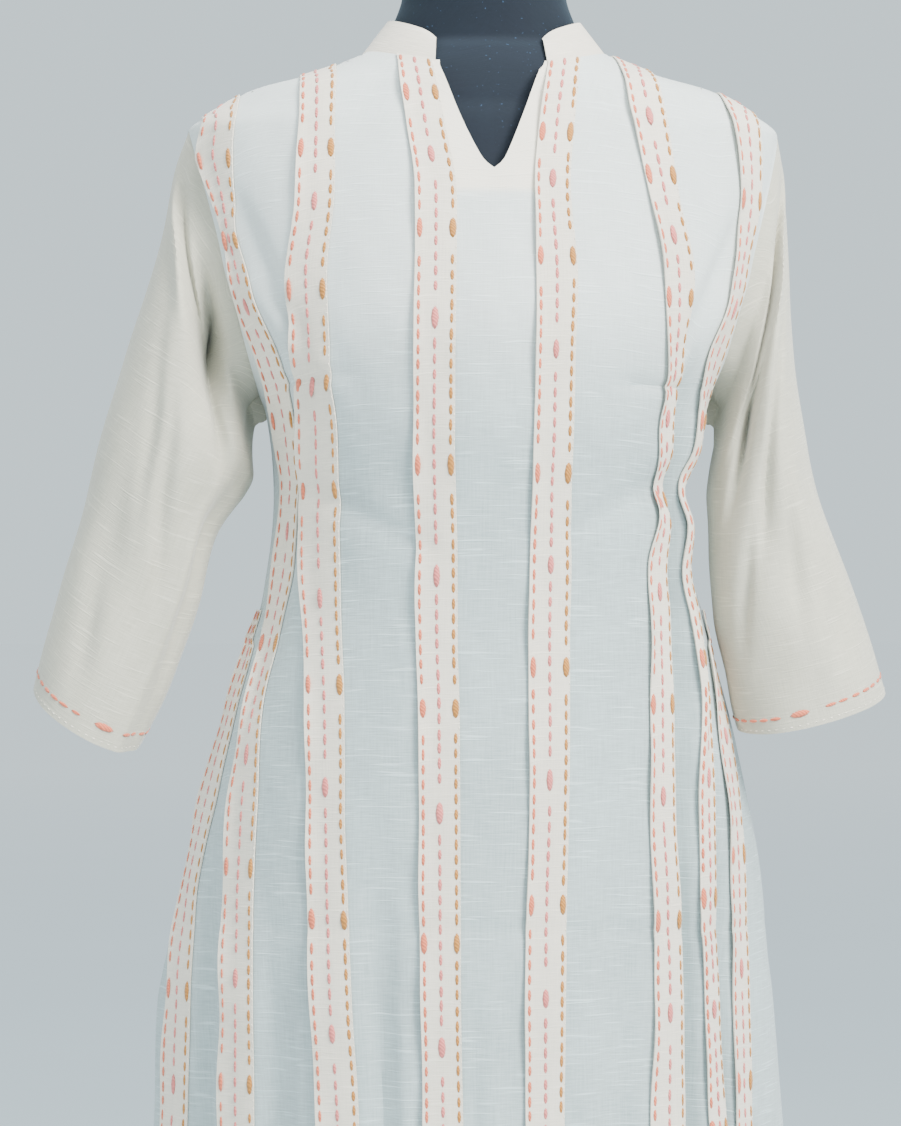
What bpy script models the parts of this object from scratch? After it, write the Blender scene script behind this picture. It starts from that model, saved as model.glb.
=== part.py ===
"""A kurta tunic of thin cotton on a plain limbless dress form, in metres, with +Z up and the front
towards -Y. The origin is the middle of the base's underside, on the floor."""

import math

import bmesh
import bpy
import numpy as np

# Cloth, seams and stand
WALL = 0.0015
BAND_WALL = 0.0012
SEAM_GAP = 0.0005
HALF_SEAM = 0.0010
SKIRT_SEAM = 0.0005
SLEEVE_SEAM = 0.0013
OVAL_POWER = 2.2
BASE_RADIUS = 0.165
BASE_HEIGHT = 0.022
BASE_BEVEL = 0.004
POLE_RADIUS = 0.0125
FORM_BOTTOM = 0.716
BASE_SIDES = 64
POLE_SIDES = 24
PARTS = "kurta_on_dress_form"

# Meshing: points closer than this are one, and edges sharper than this angle stay sharp
SAME_POINT = 1e-5
SHARP_EDGE = math.radians(40)

# Heights on the garment
NECK_POINT = 1.3964
NECK_FRONT = 1.385
NECK_BACK = 1.391
TABLE_TOP = 1.390
NOTCH_BOTTOM = 1.3145
SHOULDER_POINT = 1.346
UNDERARM = 1.163
SLIT_TOP = 0.769
HEM = 0.300
SLIT_TURN = math.radians(4)

# Distances from the middle to the edge of the V's mouth, to the neck point and to the shoulder point
NOTCH_HALF = 0.033
NECK_HALF = 0.079
SHOULDER_HALF = 0.190

# How steeply the neckline rises towards the neck point
NECK_CURVE = 1.5

# The garment's oval sections: height, half width, shift to the right, front depth, back depth
SECTIONS = (
    (0.300, 0.2450, -0.0060, 0.150, 0.150),
    (0.500, 0.2240, -0.0080, 0.141, 0.141),
    (0.707, 0.2035, -0.0090, 0.131, 0.130),
    (0.788, 0.1990, -0.0110, 0.127, 0.126),
    (0.820, 0.1940, -0.0100, 0.126, 0.124),
    (0.885, 0.1835, -0.0060, 0.122, 0.119),
    (0.949, 0.1687, -0.0050, 0.118, 0.109),
    (0.982, 0.1600, -0.0045, 0.115, 0.102),
    (1.014, 0.1505, -0.0035, 0.113, 0.096),
    (1.046, 0.1410, -0.0020, 0.112, 0.090),
    (1.110, 0.1345, -0.0010, 0.115, 0.090),
    (1.163, 0.1400, 0.0000, 0.121, 0.099),
    (1.205, 0.1580, 0.0000, 0.122, 0.104),
    (1.250, 0.1740, 0.0000, 0.115, 0.106),
    (1.300, 0.1860, 0.0000, 0.102, 0.102),
    (SHOULDER_POINT, SHOULDER_HALF, 0.0000, 0.086, 0.092),
    (1.359, 0.1740, 0.0000, 0.081, 0.087),
    (1.372, 0.1510, 0.0000, 0.076, 0.080),
    (1.381, 0.1180, 0.0000, 0.071, 0.073),
    (1.3893, 0.0950, 0.0000, 0.066, 0.066),
    (NECK_POINT, NECK_HALF, 0.0000, 0.062, 0.058),
)

# How the section closes towards its side edges: height, power. Low ones are round and high ones lens-like,
# because below the hips the front and the back hang as two sheets from their side seams.
CLOSING = (
    (0.300, 0.80),
    (0.700, 0.76),
    (0.860, 0.66),
    (0.950, 0.57),
    (1.040, 0.49),
    (1.110, 1 / OVAL_POWER),
    (1.400, 1 / OVAL_POWER),
)

# The armhole's edge across from the middle: height, half width
ARMHOLE = (
    (UNDERARM, 0.1400),
    (1.205, 0.1535),
    (1.250, 0.1650),
    (1.300, 0.1780),
    (1.330, 0.1860),
    (SHOULDER_POINT, SHOULDER_HALF),
)

BANDS = 8

# Where the eight bands' left and right edges stand across the front, in millimetres, by height in mm.
# Bands 1 and 8 come out of the side seams low down: 0 leaves their edges on the seam.
BAND_EDGES = (
    # height, 1 left, right, 2 left, right, 3 left, right, 4 left, right, then 5 to 8 the same way
    (300, -243, -232, -206, -184, -132, -107, -58, -32, 26, 52, 110, 134, 172, 186, 203, 218),
    (720, -206, -191, -170, -150, -110, -86, -47, -23, 15, 39, 94, 118, 137, 147, 154, 166),
    (800, -203, -189, -169, -150, -114, -90, -48, -24, 15, 40, 98, 117, 134, 143, 153, 165),
    (860, -194, -185, -167, -149, -116, -92, -49, -24, 16, 41, 97, 116, 131, 140, 152, 164),
    (920, -181, -172, -163, -146, -116, -94, -49, -24, 18, 43, 95, 113, 131, 140, 148, 160),
    (980, -164, -158, -153, -143, -116, -94, -49, -24, 18, 44, 96, 113, 131, 139, 142, 150),
    (1020, -150, -147, -145, -135, -117, -95, -50, -25, 18, 44, 96, 112, 126, 136, 139, 143),
    (1070, 0, 0, -136, -125, -119, -96, -50, -25, 19, 45, 96, 111, 120, 131, 0, 0),
    (1110, 0, 0, -133, -123, -120, -97, -51, -26, 20, 45, 103, 111, 120, 130, 0, 0),
    (1150, 0, 0, -136, -125, -121, -98, -52, -27, 21, 46, 101, 111, 124, 135, 0, 0),
    (1200, 0, 0, -145, -133, -126, -103, -52, -27, 22, 47, 106, 118, 132, 146, 0, 0),
    (1250, 0, 0, -160, -149, -129, -105, -51, -26, 23, 49, 103, 124, 148, 160, 0, 0),
    (1300, 0, 0, -177, -162, -123, -100, -50, -25, 23, 46, 94, 115, 157, 172, 0, 0),
    (1345, 0, 0, -182, -162, -121, -99, -55, -31, 27, 50, 86, 109, 154, 174, 0, 0),
    (1390, 0, 0, -180, -157, -119, -96, -59, -38, 35, 56, 80, 103, 148, 172, 0, 0),
)

# How far the empty right side is pinched in at the waist: height, inward
PINCH = (
    (1.040, 0.0000),
    (1.064, 0.0030),
    (1.093, -0.0010),
    (1.114, 0.0065),
    (1.143, -0.0020),
    (1.170, 0.0000),
)

# The V at the neck: height, half width
NOTCH = (
    (NOTCH_BOTTOM, 0.0000),
    (1.3190, 0.0055),
    (1.3270, 0.0100),
    (1.3490, 0.0195),
    (1.3720, 0.0280),
    (NECK_FRONT, NOTCH_HALF),
)

# Long folds, as soft ridges (+) and troughs (-): cloth line that the fold follows, its spread in lines,
# lowest and highest height, height over which each end fades, depth
FOLDS = (
    (4.55, 0.32, 0.30, 1.24, 0.10, -0.0150),
    (5.10, 0.30, 0.98, 1.21, 0.06, 0.0050),
    (6.50, 0.30, 0.30, 0.95, 0.10, -0.0080),
    (2.50, 0.35, 0.30, 0.98, 0.16, -0.0060),
    (0.00, 0.60, 0.30, 0.84, 0.16, 0.0030),
    (-2.50, 0.35, 0.30, 0.96, 0.16, -0.0055),
    (-4.50, 0.35, 0.30, 0.90, 0.16, -0.0060),
    (-6.50, 0.30, 0.30, 0.92, 0.12, -0.0070),
    (-5.50, 0.80, 1.02, 1.22, 0.06, -0.0035),
)

# Cloth lines: 0 is the middle of the front, 1 to 8 are band edges going out, and 9 is the side edge
FRONT_LINES = (0, 1, 2, 2.35, 2.65, 3, 4, 4.5, 5, 6, 7, 8, 9)
NECK_LINE = 2.65
SHOULDER_LINE = 6
SIDE_LINE = 9
LEAST_TURN = math.radians(1.3)
BACK_COLUMNS = 17
BACK_SPREAD = 0.45
SIDE_BAND_TOP = 1.04
LAST_TIED = 1.37

# How far down each upper row lies from the top edge to the underarm, as a share
UPPER_ROWS = (
    0, 0.012, 0.035, 0.07, 0.115, 0.165, 0.215, 0.265,
    0.30, 0.3176, 0.40, 0.50, 0.61, 0.74, 0.87, 1,
)
LOWER_ROWS = (
    1.145, 1.127, 1.109, 1.091, 1.073, 1.055, 1.035, 1.012, 0.985, 0.955, 0.925, 0.895, 0.865, 0.835,
    0.802, 0.769, 0.735, 0.700, 0.660, 0.610, 0.560, 0.510, 0.460, 0.410, 0.355, 0.300,
)

# Each sleeve's course: share of its length, outer edge across and height, inner edge across and
# height, middle's y, half depth, how far the front of the ring dips below its back
SLEEVES = {
    "sleeve_left": (
        (0.00, -0.1906, 1.3460, -0.1406, 1.1625, 0.000, 0.050, 0.000),
        (0.07, -0.2000, 1.3200, -0.1480, 1.1560, 0.000, 0.047, 0.001),
        (0.16, -0.2060, 1.2850, -0.1490, 1.1450, -0.002, 0.049, 0.002),
        (0.28, -0.2170, 1.2420, -0.1490, 1.1300, -0.004, 0.052, 0.003),
        (0.40, -0.2310, 1.2000, -0.1540, 1.1140, -0.006, 0.052, 0.004),
        (0.55, -0.2480, 1.1420, -0.1720, 1.0860, -0.008, 0.048, 0.006),
        (0.70, -0.2630, 1.0850, -0.1830, 1.0460, -0.010, 0.044, 0.008),
        (0.85, -0.2750, 1.0380, -0.1985, 1.0010, -0.012, 0.041, 0.010),
        (1.00, -0.2890, 0.9900, -0.2205, 0.9540, -0.014, 0.038, 0.012),
    ),
    "sleeve_right": (
        (0.00, 0.1906, 1.3460, 0.1406, 1.1625, 0.000, 0.050, 0.000),
        (0.07, 0.1950, 1.3200, 0.1490, 1.1560, 0.000, 0.047, 0.000),
        (0.16, 0.1965, 1.2880, 0.1490, 1.1450, -0.002, 0.049, 0.000),
        (0.28, 0.1965, 1.2450, 0.1465, 1.1280, -0.006, 0.052, 0.001),
        (0.40, 0.1990, 1.2020, 0.1445, 1.1080, -0.010, 0.051, 0.002),
        (0.55, 0.2080, 1.1420, 0.1440, 1.0750, -0.014, 0.048, 0.003),
        (0.70, 0.2240, 1.0870, 0.1470, 1.0360, -0.018, 0.045, 0.004),
        (0.85, 0.2400, 1.0380, 0.1540, 0.9980, -0.024, 0.043, 0.005),
        (1.00, 0.2567, 0.9880, 0.1605, 0.9630, -0.028, 0.041, 0.007),
    ),
}

# Folds in the sleeves: share along and its spread, turn round the ring from the outer edge by way of
# the front and its spread, in degrees, depth outwards
SLEEVE_FOLDS = {
    "sleeve_left": (
        (0.18, 0.11, 100, 22, -0.026),
        (0.24, 0.14, 62, 14, 0.004),
        (0.12, 0.05, 40, 22, 0.004),
        (0.60, 0.20, 60, 16, -0.004),
        (0.18, 0.15, 240, 26, -0.012),
    ),
    "sleeve_right": (
        (0.12, 0.06, 40, 22, -0.008),
        (0.22, 0.10, 60, 18, 0.005),
        (0.34, 0.14, 118, 22, -0.014),
        (0.48, 0.16, 92, 14, -0.005),
        (0.62, 0.20, 66, 14, 0.003),
        (0.18, 0.15, 240, 26, -0.012),
    ),
}
SLEEVE_ROWS = (0, 0.03, 0.07, 0.12, 0.18, 0.24, 0.31, 0.38, 0.46, 0.55, 0.64, 0.73, 0.82, 0.91, 1)
SLEEVE_COLUMNS = 24
ARMHOLE_FADE = 0.30

# The stand collar: its height above the neckline and the seam's gap, how far its top leans in, where
# its ends stand, its depths to the front and to the back, and how much its ends are rounded
COLLAR_GAP = 0.0012
COLLAR_RISE = 0.0204
COLLAR_LEAN = 0.0165
COLLAR_END = 0.0355
COLLAR_END_LEAN = 0.0020
COLLAR_COLUMNS = 30
COLLAR_ROWS = (0, 0.35, 0.7, 1)
COLLAR_FRONT = 0.0660
COLLAR_BACK = 0.0620
COLLAR_ROUNDING = 0.25
COLLAR_ROUND = 0.10

# The facing behind the V: last upper row that it reaches, and the cloth line it reaches across
FACING_ROWS = 11
FACING_LINE = 1

# The form's oval sections: height, half width, shift, front depth, back depth
FORM_SECTIONS = (
    (FORM_BOTTOM, 0.155, -0.005, 0.100, 0.102),
    (0.760, 0.156, -0.005, 0.103, 0.106),
    (0.850, 0.153, -0.004, 0.102, 0.106),
    (0.950, 0.139, -0.003, 0.094, 0.094),
    (1.050, 0.119, -0.001, 0.086, 0.077),
    (1.110, 0.113, 0.000, 0.092, 0.076),
    (1.163, 0.117, 0.000, 0.106, 0.086),
    (1.205, 0.126, 0.000, 0.112, 0.094),
    (1.250, 0.138, 0.000, 0.105, 0.096),
    (1.300, 0.147, 0.000, 0.092, 0.092),
    (1.330, 0.156, 0.000, 0.081, 0.084),
    (1.3496, 0.1628, 0.000, 0.074, 0.078),
    (1.3605, 0.157, 0.000, 0.068, 0.072),
    (1.3670, 0.148, 0.000, 0.066, 0.070),
    (1.3779, 0.118, 0.000, 0.062, 0.064),
    (1.3863, 0.093, 0.000, 0.058, 0.058),
    (1.3955, 0.071, 0.000, 0.0515, 0.051),
    (1.4040, 0.0635, 0.000, 0.0432, 0.0425),
    (1.4151, 0.0592, 0.000, 0.0428, 0.0412),
    (1.4330, 0.0530, 0.000, 0.0430, 0.0405),
    (1.4620, 0.0500, 0.000, 0.042, 0.041),
    (1.4660, 0.0460, 0.000, 0.038, 0.037),
)
FORM_COLUMNS = 32

# Colours and finish: red, green, blue, roughness, metallic
FINISHES = {
    "sage_cotton": (0.62, 0.67, 0.64, 0.9, 0.0),
    "cream_cotton": (0.80, 0.77, 0.70, 0.9, 0.0),
    "black_jersey": (0.012, 0.015, 0.022, 0.85, 0.0),
    "dark_metal": (0.02, 0.02, 0.022, 0.4, 0.8),
}


def smooth(table, values, column=1):
    """Value of a table's column, on a curve through its rows that never swings past them."""
    table = np.asarray(table, float)
    places, levels = table[:, 0], table[:, column]
    steps = np.diff(places)
    slopes = np.diff(levels) / steps
    same_way = slopes[:-1] * slopes[1:] > 0
    total = np.where(same_way, slopes[:-1] + slopes[1:], 1)
    inner = np.where(same_way, 2 * slopes[:-1] * slopes[1:] / total, 0)
    ends = np.concatenate([slopes[:1], inner, slopes[-1:]])
    values = np.clip(values, places[0], places[-1])
    row = np.clip(np.searchsorted(places, values, side="right") - 1, 0, len(steps) - 1)
    step = steps[row]
    t = (values - places[row]) / step
    start = (1 + 2 * t) * (1 - t) ** 2 * levels[row] + t * (1 - t) ** 2 * step * ends[row]
    finish = t * t * (3 - 2 * t) * levels[row + 1] + t * t * (t - 1) * step * ends[row + 1]
    return start + finish


def soft_step(start, end, values):
    t = np.clip((values - start) / (end - start), 0, 1)
    return t * t * (3 - 2 * t)


def oval_point(turn, height, side, sections=SECTIONS):
    """Point of the oval section at this height, turned from the middle. side is -1 front, +1 back."""
    half_width = smooth(sections, height, 1)
    shift = smooth(sections, height, 2)
    depth = smooth(sections, height, 3 if side < 0 else 4)
    across = np.sin(turn)
    closing = 1 / OVAL_POWER
    if sections is SECTIONS:
        closing = smooth(CLOSING, height)
        shift = shift - smooth(PINCH, height) * np.maximum(across, 0) ** 3
    out = np.maximum(1 - np.abs(across) ** OVAL_POWER, 0) ** closing
    return np.stack([shift + half_width * across, side * depth * out, height + 0 * across], axis=-1)


def half_seam(height):
    """How far each panel keeps from the seam's middle: more where its wall leans over the side seam."""
    return HALF_SEAM + SKIRT_SEAM * (1 - soft_step(0.95, 1.10, height))


def ridge_height(across):
    """Height of the shoulder seam at this distance from the middle."""
    rows = [(width, height) for height, width, *_ in reversed(SECTIONS) if height >= SHOULDER_POINT]
    return smooth(rows, np.abs(across))


def seam_turn(across, top):
    """Turn of a panel's top edge: a quarter turn on the shoulder seam, and inside the neck point the
    arcsin of its share of the width there."""
    inside = np.arcsin(np.minimum(np.abs(across) / smooth(SECTIONS, top, 1), 1))
    return np.where(np.abs(across) < NECK_HALF - SAME_POINT, inside, np.pi / 2)


def edge_across(line, height):
    """Distance across of one cloth line, a whole number, at nominal heights; nan on the side seam."""
    column = SIDE_LINE + line if line < 0 else SIDE_LINE - 1 + line
    rows = [(row[0] / 1000, row[column] / 1000) for row in BAND_EDGES if row[column]]
    across = smooth(rows, height)
    return np.where(height > rows[-1][0], np.nan, across)


def side_turn(height):
    """Turn of the front's side edge: the armhole above the underarm, and the slit low down."""
    armhole = np.arcsin(np.clip(smooth(ARMHOLE, height) / smooth(SECTIONS, height, 1), 0, 1))
    slit = np.pi / 2 - SLIT_TURN * np.clip((SLIT_TOP - height) / (SLIT_TOP - HEM), 0, 1)
    return np.where(height > UNDERARM, armhole, slit)


def middle_across(height):
    return (edge_across(-1, height) + edge_across(1, height)) / 2


def line_turn(line, nominal, height):
    """Turn of a whole cloth line from the front's middle, at its nominal and its real heights."""
    sign = -1 if line < 0 else 1
    count = abs(line)
    side = side_turn(height)
    if count == SIDE_LINE:
        return sign * side
    across = edge_across(line, nominal) - smooth(SECTIONS, height, 2)
    turn = np.arcsin(np.clip(sign * across / smooth(SECTIONS, height, 1), -1, 1))
    most = side - LEAST_TURN * (SIDE_LINE - count)
    turn = np.minimum(turn, np.where(nominal > LAST_TIED, np.pi / 2, most))
    if count > SHOULDER_LINE:
        inner = np.abs(line_turn(sign * SHOULDER_LINE, nominal, height))
        share = (count - SHOULDER_LINE) / (SIDE_LINE - SHOULDER_LINE)
        turn = np.where(np.isnan(turn), inner + (side - inner) * share, turn)
    return sign * turn


def fold_depth(line, height):
    depth = np.zeros(np.broadcast(line, height).shape)
    for middle, spread, low, high, fade, deep in FOLDS:
        along = soft_step(low - fade, low, height) * (1 - soft_step(high - fade, high, height))
        depth = depth + deep * along * np.exp(-(((line - middle) / spread) ** 2))
    return depth


def front_lines():
    """Cloth lines from the left side to the right, with the middle twice, once for each side of the V."""
    right = np.array(FRONT_LINES, float)
    return np.concatenate([-right[::-1], right])


def top_edge(across, neck_across, low):
    """Height of a panel's top edge: the shoulder seam, or the neckline inside the neck point."""
    inside = np.clip((np.abs(across) - neck_across[0]) / (neck_across[1] - neck_across[0]), 0, 1)
    neckline = low + (NECK_POINT - low) * inside ** NECK_CURVE
    return np.where(np.abs(across) > neck_across[1], ridge_height(across), neckline)


def front_points():
    """Grid of the front panel's outer points, rows going down and columns along its cloth lines."""
    lines = front_lines()
    nominal_upper = TABLE_TOP - (TABLE_TOP - UNDERARM) * np.array(UPPER_ROWS)
    nominal = np.concatenate([nominal_upper, LOWER_ROWS])
    grid = np.zeros((len(nominal), len(lines), 3))
    half = len(FRONT_LINES)
    for column, line in enumerate(lines):
        sign = -1 if column < half else 1
        count = abs(line)
        top_across = top_line_across(sign, count)
        top = float(top_edge(top_across, (NOTCH_HALF, NECK_HALF), NECK_FRONT))
        share = np.concatenate([UPPER_ROWS, np.ones(len(LOWER_ROWS))])
        height = np.where(share < 1, top - (top - UNDERARM) * share, nominal)
        turn = between_lines(sign, count, nominal, height)
        turn[0] = sign * float(seam_turn(top_across, top))
        points = oval_point(turn, height, -1)
        outward = np.stack([np.sin(turn), -np.cos(turn), 0 * turn], axis=-1)
        grid[:, column] = points + outward * fold_depth(sign * count, height)[:, None]
    grid[..., 1] -= half_seam(grid[..., 2])
    return grid


def top_line_across(sign, count):
    """Distance across at which a cloth line meets the front's top edge."""
    ends = [abs(float(edge_across(sign * n, TABLE_TOP))) for n in range(1, SHOULDER_LINE + 1)]
    known = (0, 1, 2, NECK_LINE, 3, 4, 5, SHOULDER_LINE, SIDE_LINE)
    places = (NOTCH_HALF, *ends[:2], NECK_HALF, *ends[2:], SHOULDER_HALF)
    return sign * float(np.interp(count, known, places))


def between_lines(sign, count, nominal, height):
    """Turn along any cloth line, in the share that it lies between its two whole neighbours."""
    low, high = math.floor(count), math.ceil(count)
    outer = line_turn(sign * high, nominal, height) if high else None
    if low == 0:
        middle = middle_across(nominal) - smooth(SECTIONS, height, 2)
        gap = np.where(height > NOTCH_BOTTOM, smooth(NOTCH, height), 0)
        inner = np.arcsin((middle + sign * gap) / smooth(SECTIONS, height, 1))
    else:
        inner = line_turn(sign * low, nominal, height)
    return inner if low == high else inner + (outer - inner) * (count - low)


def back_points():
    """Grid of the back panel's outer points, rows going down and columns from its right to its left."""
    turns = np.linspace(-math.pi / 2, math.pi / 2, BACK_COLUMNS)
    share = np.concatenate([UPPER_ROWS, np.ones(len(LOWER_ROWS))])
    nominal = np.concatenate([np.full(len(UPPER_ROWS), UNDERARM), LOWER_ROWS])
    grid = np.zeros((len(share), BACK_COLUMNS, 3))
    for column, turn in enumerate(turns):
        across = math.sin(turn) * SHOULDER_HALF
        top = float(top_edge(across, (0, NECK_HALF), NECK_BACK))
        height = np.where(share < 1, top - (top - UNDERARM) * share, nominal)
        edge = side_turn(height)
        start = math.copysign(float(seam_turn(across, top)), turn)
        here = start + (turn / (math.pi / 2) * edge - start) * soft_step(0, BACK_SPREAD, share)
        grid[:, column] = oval_point(here, height, 1)
    grid[..., 1] += half_seam(grid[..., 2])
    return grid[:, ::-1]


def normals_of(grid):
    """Outward normal at each grid point, from its neighbours along the rows and the columns."""
    down = np.gradient(grid, axis=0)
    along = np.gradient(grid, axis=1)
    normal = np.cross(down, along)
    middle = grid.shape[1] // 2
    met = np.linalg.norm(grid[:, middle] - grid[:, middle - 1], axis=-1) < SAME_POINT
    shared = normal[met, middle] + normal[met, middle - 1]
    normal[met, middle] = normal[met, middle - 1] = shared
    return normal / np.linalg.norm(normal, axis=-1, keepdims=True)


def sleeve_ring(name, share, turns):
    """Points of a sleeve's ring at a share of its length: an oval between its outer and inner edges."""
    rows = SLEEVES[name]
    outer_x, outer_z, inner_x, inner_z, middle_y, depth, dip = (smooth(rows, share, n) for n in range(1, 8))
    middle = np.array([(outer_x + inner_x) / 2, middle_y, (outer_z + inner_z) / 2])
    half = np.array([(outer_x - inner_x) / 2, 0, (outer_z - inner_z) / 2])
    forward = np.array([0, -depth, -dip])
    ring = middle + np.cos(turns)[:, None] * half + np.sin(turns)[:, None] * forward
    return ring, middle


def armhole_ring(name, turns):
    """The armhole's edge, from the shoulder point by way of the front to the underarm and back up."""
    sign = -1 if name.endswith("left") else 1
    middle = (SHOULDER_POINT + UNDERARM) / 2
    height = middle + (SHOULDER_POINT - UNDERARM) / 2 * np.cos(turns)
    turn = sign * side_turn(np.minimum(height, SHOULDER_POINT))
    turn = np.where(height > SHOULDER_POINT - SAME_POINT, sign * math.pi / 2, turn)
    front = oval_point(turn, height, -1)
    back = oval_point(turn, height, 1)
    ring = np.where((np.sin(turns) > 0)[:, None], front, back)
    ring[:, 0] += sign * SLEEVE_SEAM
    return ring


def sleeve_points(name):
    """Grid of a sleeve's outer points, rows from the armhole to the hem and columns round the ring."""
    turns = np.linspace(0, 2 * math.pi, SLEEVE_COLUMNS + 1)
    first, _ = sleeve_ring(name, 0, turns)
    rest = armhole_ring(name, turns) - first
    grid = []
    for share in SLEEVE_ROWS:
        ring, middle = sleeve_ring(name, share, turns)
        ring = ring + rest * (1 - soft_step(0, ARMHOLE_FADE, share))
        outward = ring - middle
        outward /= np.linalg.norm(outward, axis=1, keepdims=True)
        depth = np.zeros(len(turns))
        for at, along, turn, spread, deep in SLEEVE_FOLDS[name]:
            off = (np.degrees(turns) - turn + 180) % 360 - 180
            depth += deep * math.exp(-(((share - at) / along) ** 2)) * np.exp(-((off / spread) ** 2))
        grid.append(ring + outward * (depth * soft_step(0, 0.10, share))[:, None])
    grid = np.array(grid)
    return grid if name.endswith("right") else grid[:, ::-1]


def collar_points():
    """Grid of the collar's outer points: rows going down, columns from its right end round the back."""
    rows = []
    for share in reversed(COLLAR_ROWS):
        lean = COLLAR_LEAN * share
        start = math.asin((COLLAR_END - COLLAR_END_LEAN * share) / (NECK_HALF - lean))
        turns = np.linspace(start, 2 * math.pi - start, COLLAR_COLUMNS)
        ends = np.minimum(turns - turns[0], turns[-1] - turns)
        front = np.cos(turns) > 0
        across = NECK_HALF * np.sin(turns)
        front_edge = top_edge(across, (NOTCH_HALF, NECK_HALF), NECK_FRONT)
        back_edge = top_edge(across, (0, NECK_HALF), NECK_BACK)
        base = np.where(front, front_edge, back_edge) + COLLAR_GAP
        depth = np.where(front, COLLAR_FRONT, COLLAR_BACK)
        round_end = 1 - COLLAR_ROUNDING * share ** 3 * np.exp(-ends / COLLAR_ROUND)
        height = base + COLLAR_RISE * share * round_end
        x = (NECK_HALF - lean) * np.sin(turns)
        y = -(depth - lean) * np.cos(turns)
        rows.append(np.stack([x, y, height], axis=-1))
    return np.array(rows)


def collection():
    parts = bpy.data.collections.get(PARTS)
    if parts is None:
        parts = bpy.data.collections.new(PARTS)
        bpy.context.scene.collection.children.link(parts)
    return parts


def finish(name):
    """The named finish's material, made on first use."""
    material = bpy.data.materials.get(name)
    if material is None:
        red, green, blue, roughness, metallic = FINISHES[name]
        material = bpy.data.materials.new(name)
        material.use_nodes = True
        shader = material.node_tree.nodes["Principled BSDF"]
        shader.inputs["Base Color"].default_value = (red, green, blue, 1)
        shader.inputs["Roughness"].default_value = roughness
        shader.inputs["Metallic"].default_value = metallic
    return material


def place(name, bm, material):
    """Makes the named object from this mesh, shaded smooth, in the part's collection."""
    mesh = bpy.data.meshes.new(name)
    bm.to_mesh(mesh)
    bm.free()
    mesh.shade_smooth()
    mesh.set_sharp_from_angle(angle=SHARP_EDGE)
    mesh.materials.append(finish(material))
    obj = bpy.data.objects.new(name, mesh)
    collection().objects.link(obj)
    return obj


def grid_mesh(points, cut_strip=None):
    """A grid whose points are moved to these, with one strip of faces cut out if asked."""
    rows, columns = points.shape[:2]
    bm = bmesh.new()
    bmesh.ops.create_grid(bm, x_segments=columns - 1, y_segments=rows - 1, size=1)
    bm.verts.ensure_lookup_table()
    bm.faces.ensure_lookup_table()
    for vert, point in zip(bm.verts, points[::-1].reshape(-1, 3)):
        vert.co = point
    if cut_strip is not None:
        strip = [face for n, face in enumerate(bm.faces) if n % (columns - 1) == cut_strip]
        bmesh.ops.delete(bm, geom=strip, context="FACES")
    bmesh.ops.remove_doubles(bm, verts=bm.verts, dist=SAME_POINT)
    return bm


def cloth(name, points, wall, material, outward=False, cut_strip=None):
    """A cloth panel: its points with a wall behind them, or in front of them where it lies on another."""
    obj = place(name, grid_mesh(points, cut_strip), material)
    thickness = obj.modifiers.new("wall", "SOLIDIFY")
    thickness.thickness = wall
    thickness.offset = 1 if outward else -1
    return obj


def make_bands(front, normals):
    """Each band lies on the front's own points between its two edges, moved out by the seam's gap."""
    lines = front_lines()
    half = len(FRONT_LINES)
    heights = front[..., 2]
    for number in range(1, BANDS + 1):
        left = number <= BANDS / 2
        low = 2 * number - (BANDS + 2 if left else BANDS + 1)
        side = range(half) if left else range(half, len(lines))
        columns = [column for column in side if low <= lines[column] <= low + 1 and lines[column]]
        rows = np.arange(len(front))
        if number in (1, BANDS):
            rows = rows[heights[:, columns[0]] < SIDE_BAND_TOP]
        patch = np.ix_(rows, columns)
        points = front[patch] + normals[patch] * SEAM_GAP
        cloth(f"band_{number}", points, BAND_WALL, "cream_cotton", outward=True)


def make_facing(front, normals):
    """The facing follows the V behind the front panel, one strip on each side, joined below the V."""
    lines = front_lines()
    columns = [n for n, line in enumerate(lines) if abs(line) <= FACING_LINE]
    patch = np.ix_(range(FACING_ROWS + 1), columns)
    points = front[patch] - normals[patch] * (WALL + 2 * SEAM_GAP)
    cloth("neck_facing", points, BAND_WALL, "cream_cotton", cut_strip=len(columns) // 2 - 1)


def make_form():
    """The torso: oval rings lofted from its foot to the neck, with flat ends."""
    turns = np.linspace(0, 2 * math.pi, FORM_COLUMNS + 1)
    heights = np.array([row[0] for row in FORM_SECTIONS])[::-1]
    front = oval_point(turns[None, :], heights[:, None], -1, FORM_SECTIONS)
    back = oval_point(turns[None, :], heights[:, None], 1, FORM_SECTIONS)
    points = np.where((np.cos(turns) > 0)[None, :, None], front, back)
    bm = grid_mesh(points)
    rims = [edge for edge in bm.edges if edge.is_boundary]
    bmesh.ops.holes_fill(bm, edges=rims, sides=FORM_COLUMNS)
    place("form_torso", bm, "black_jersey")


def cylinder(radius, sides, low, high):
    bm = bmesh.new()
    bmesh.ops.create_cone(
        bm, cap_ends=True, segments=sides, radius1=radius, radius2=radius, depth=high - low)
    bmesh.ops.translate(bm, verts=bm.verts, vec=(0, 0, (low + high) / 2))
    return bm


def make_stand():
    base = place("form_base", cylinder(BASE_RADIUS, BASE_SIDES, 0, BASE_HEIGHT), "dark_metal")
    rounding = base.modifiers.new("rounded edge", "BEVEL")
    rounding.width = BASE_BEVEL
    rounding.segments = 2
    rounding.limit_method = "ANGLE"
    pole = cylinder(POLE_RADIUS, POLE_SIDES, BASE_HEIGHT + SEAM_GAP, FORM_BOTTOM - SEAM_GAP)
    place("form_pole", pole, "dark_metal")


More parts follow.
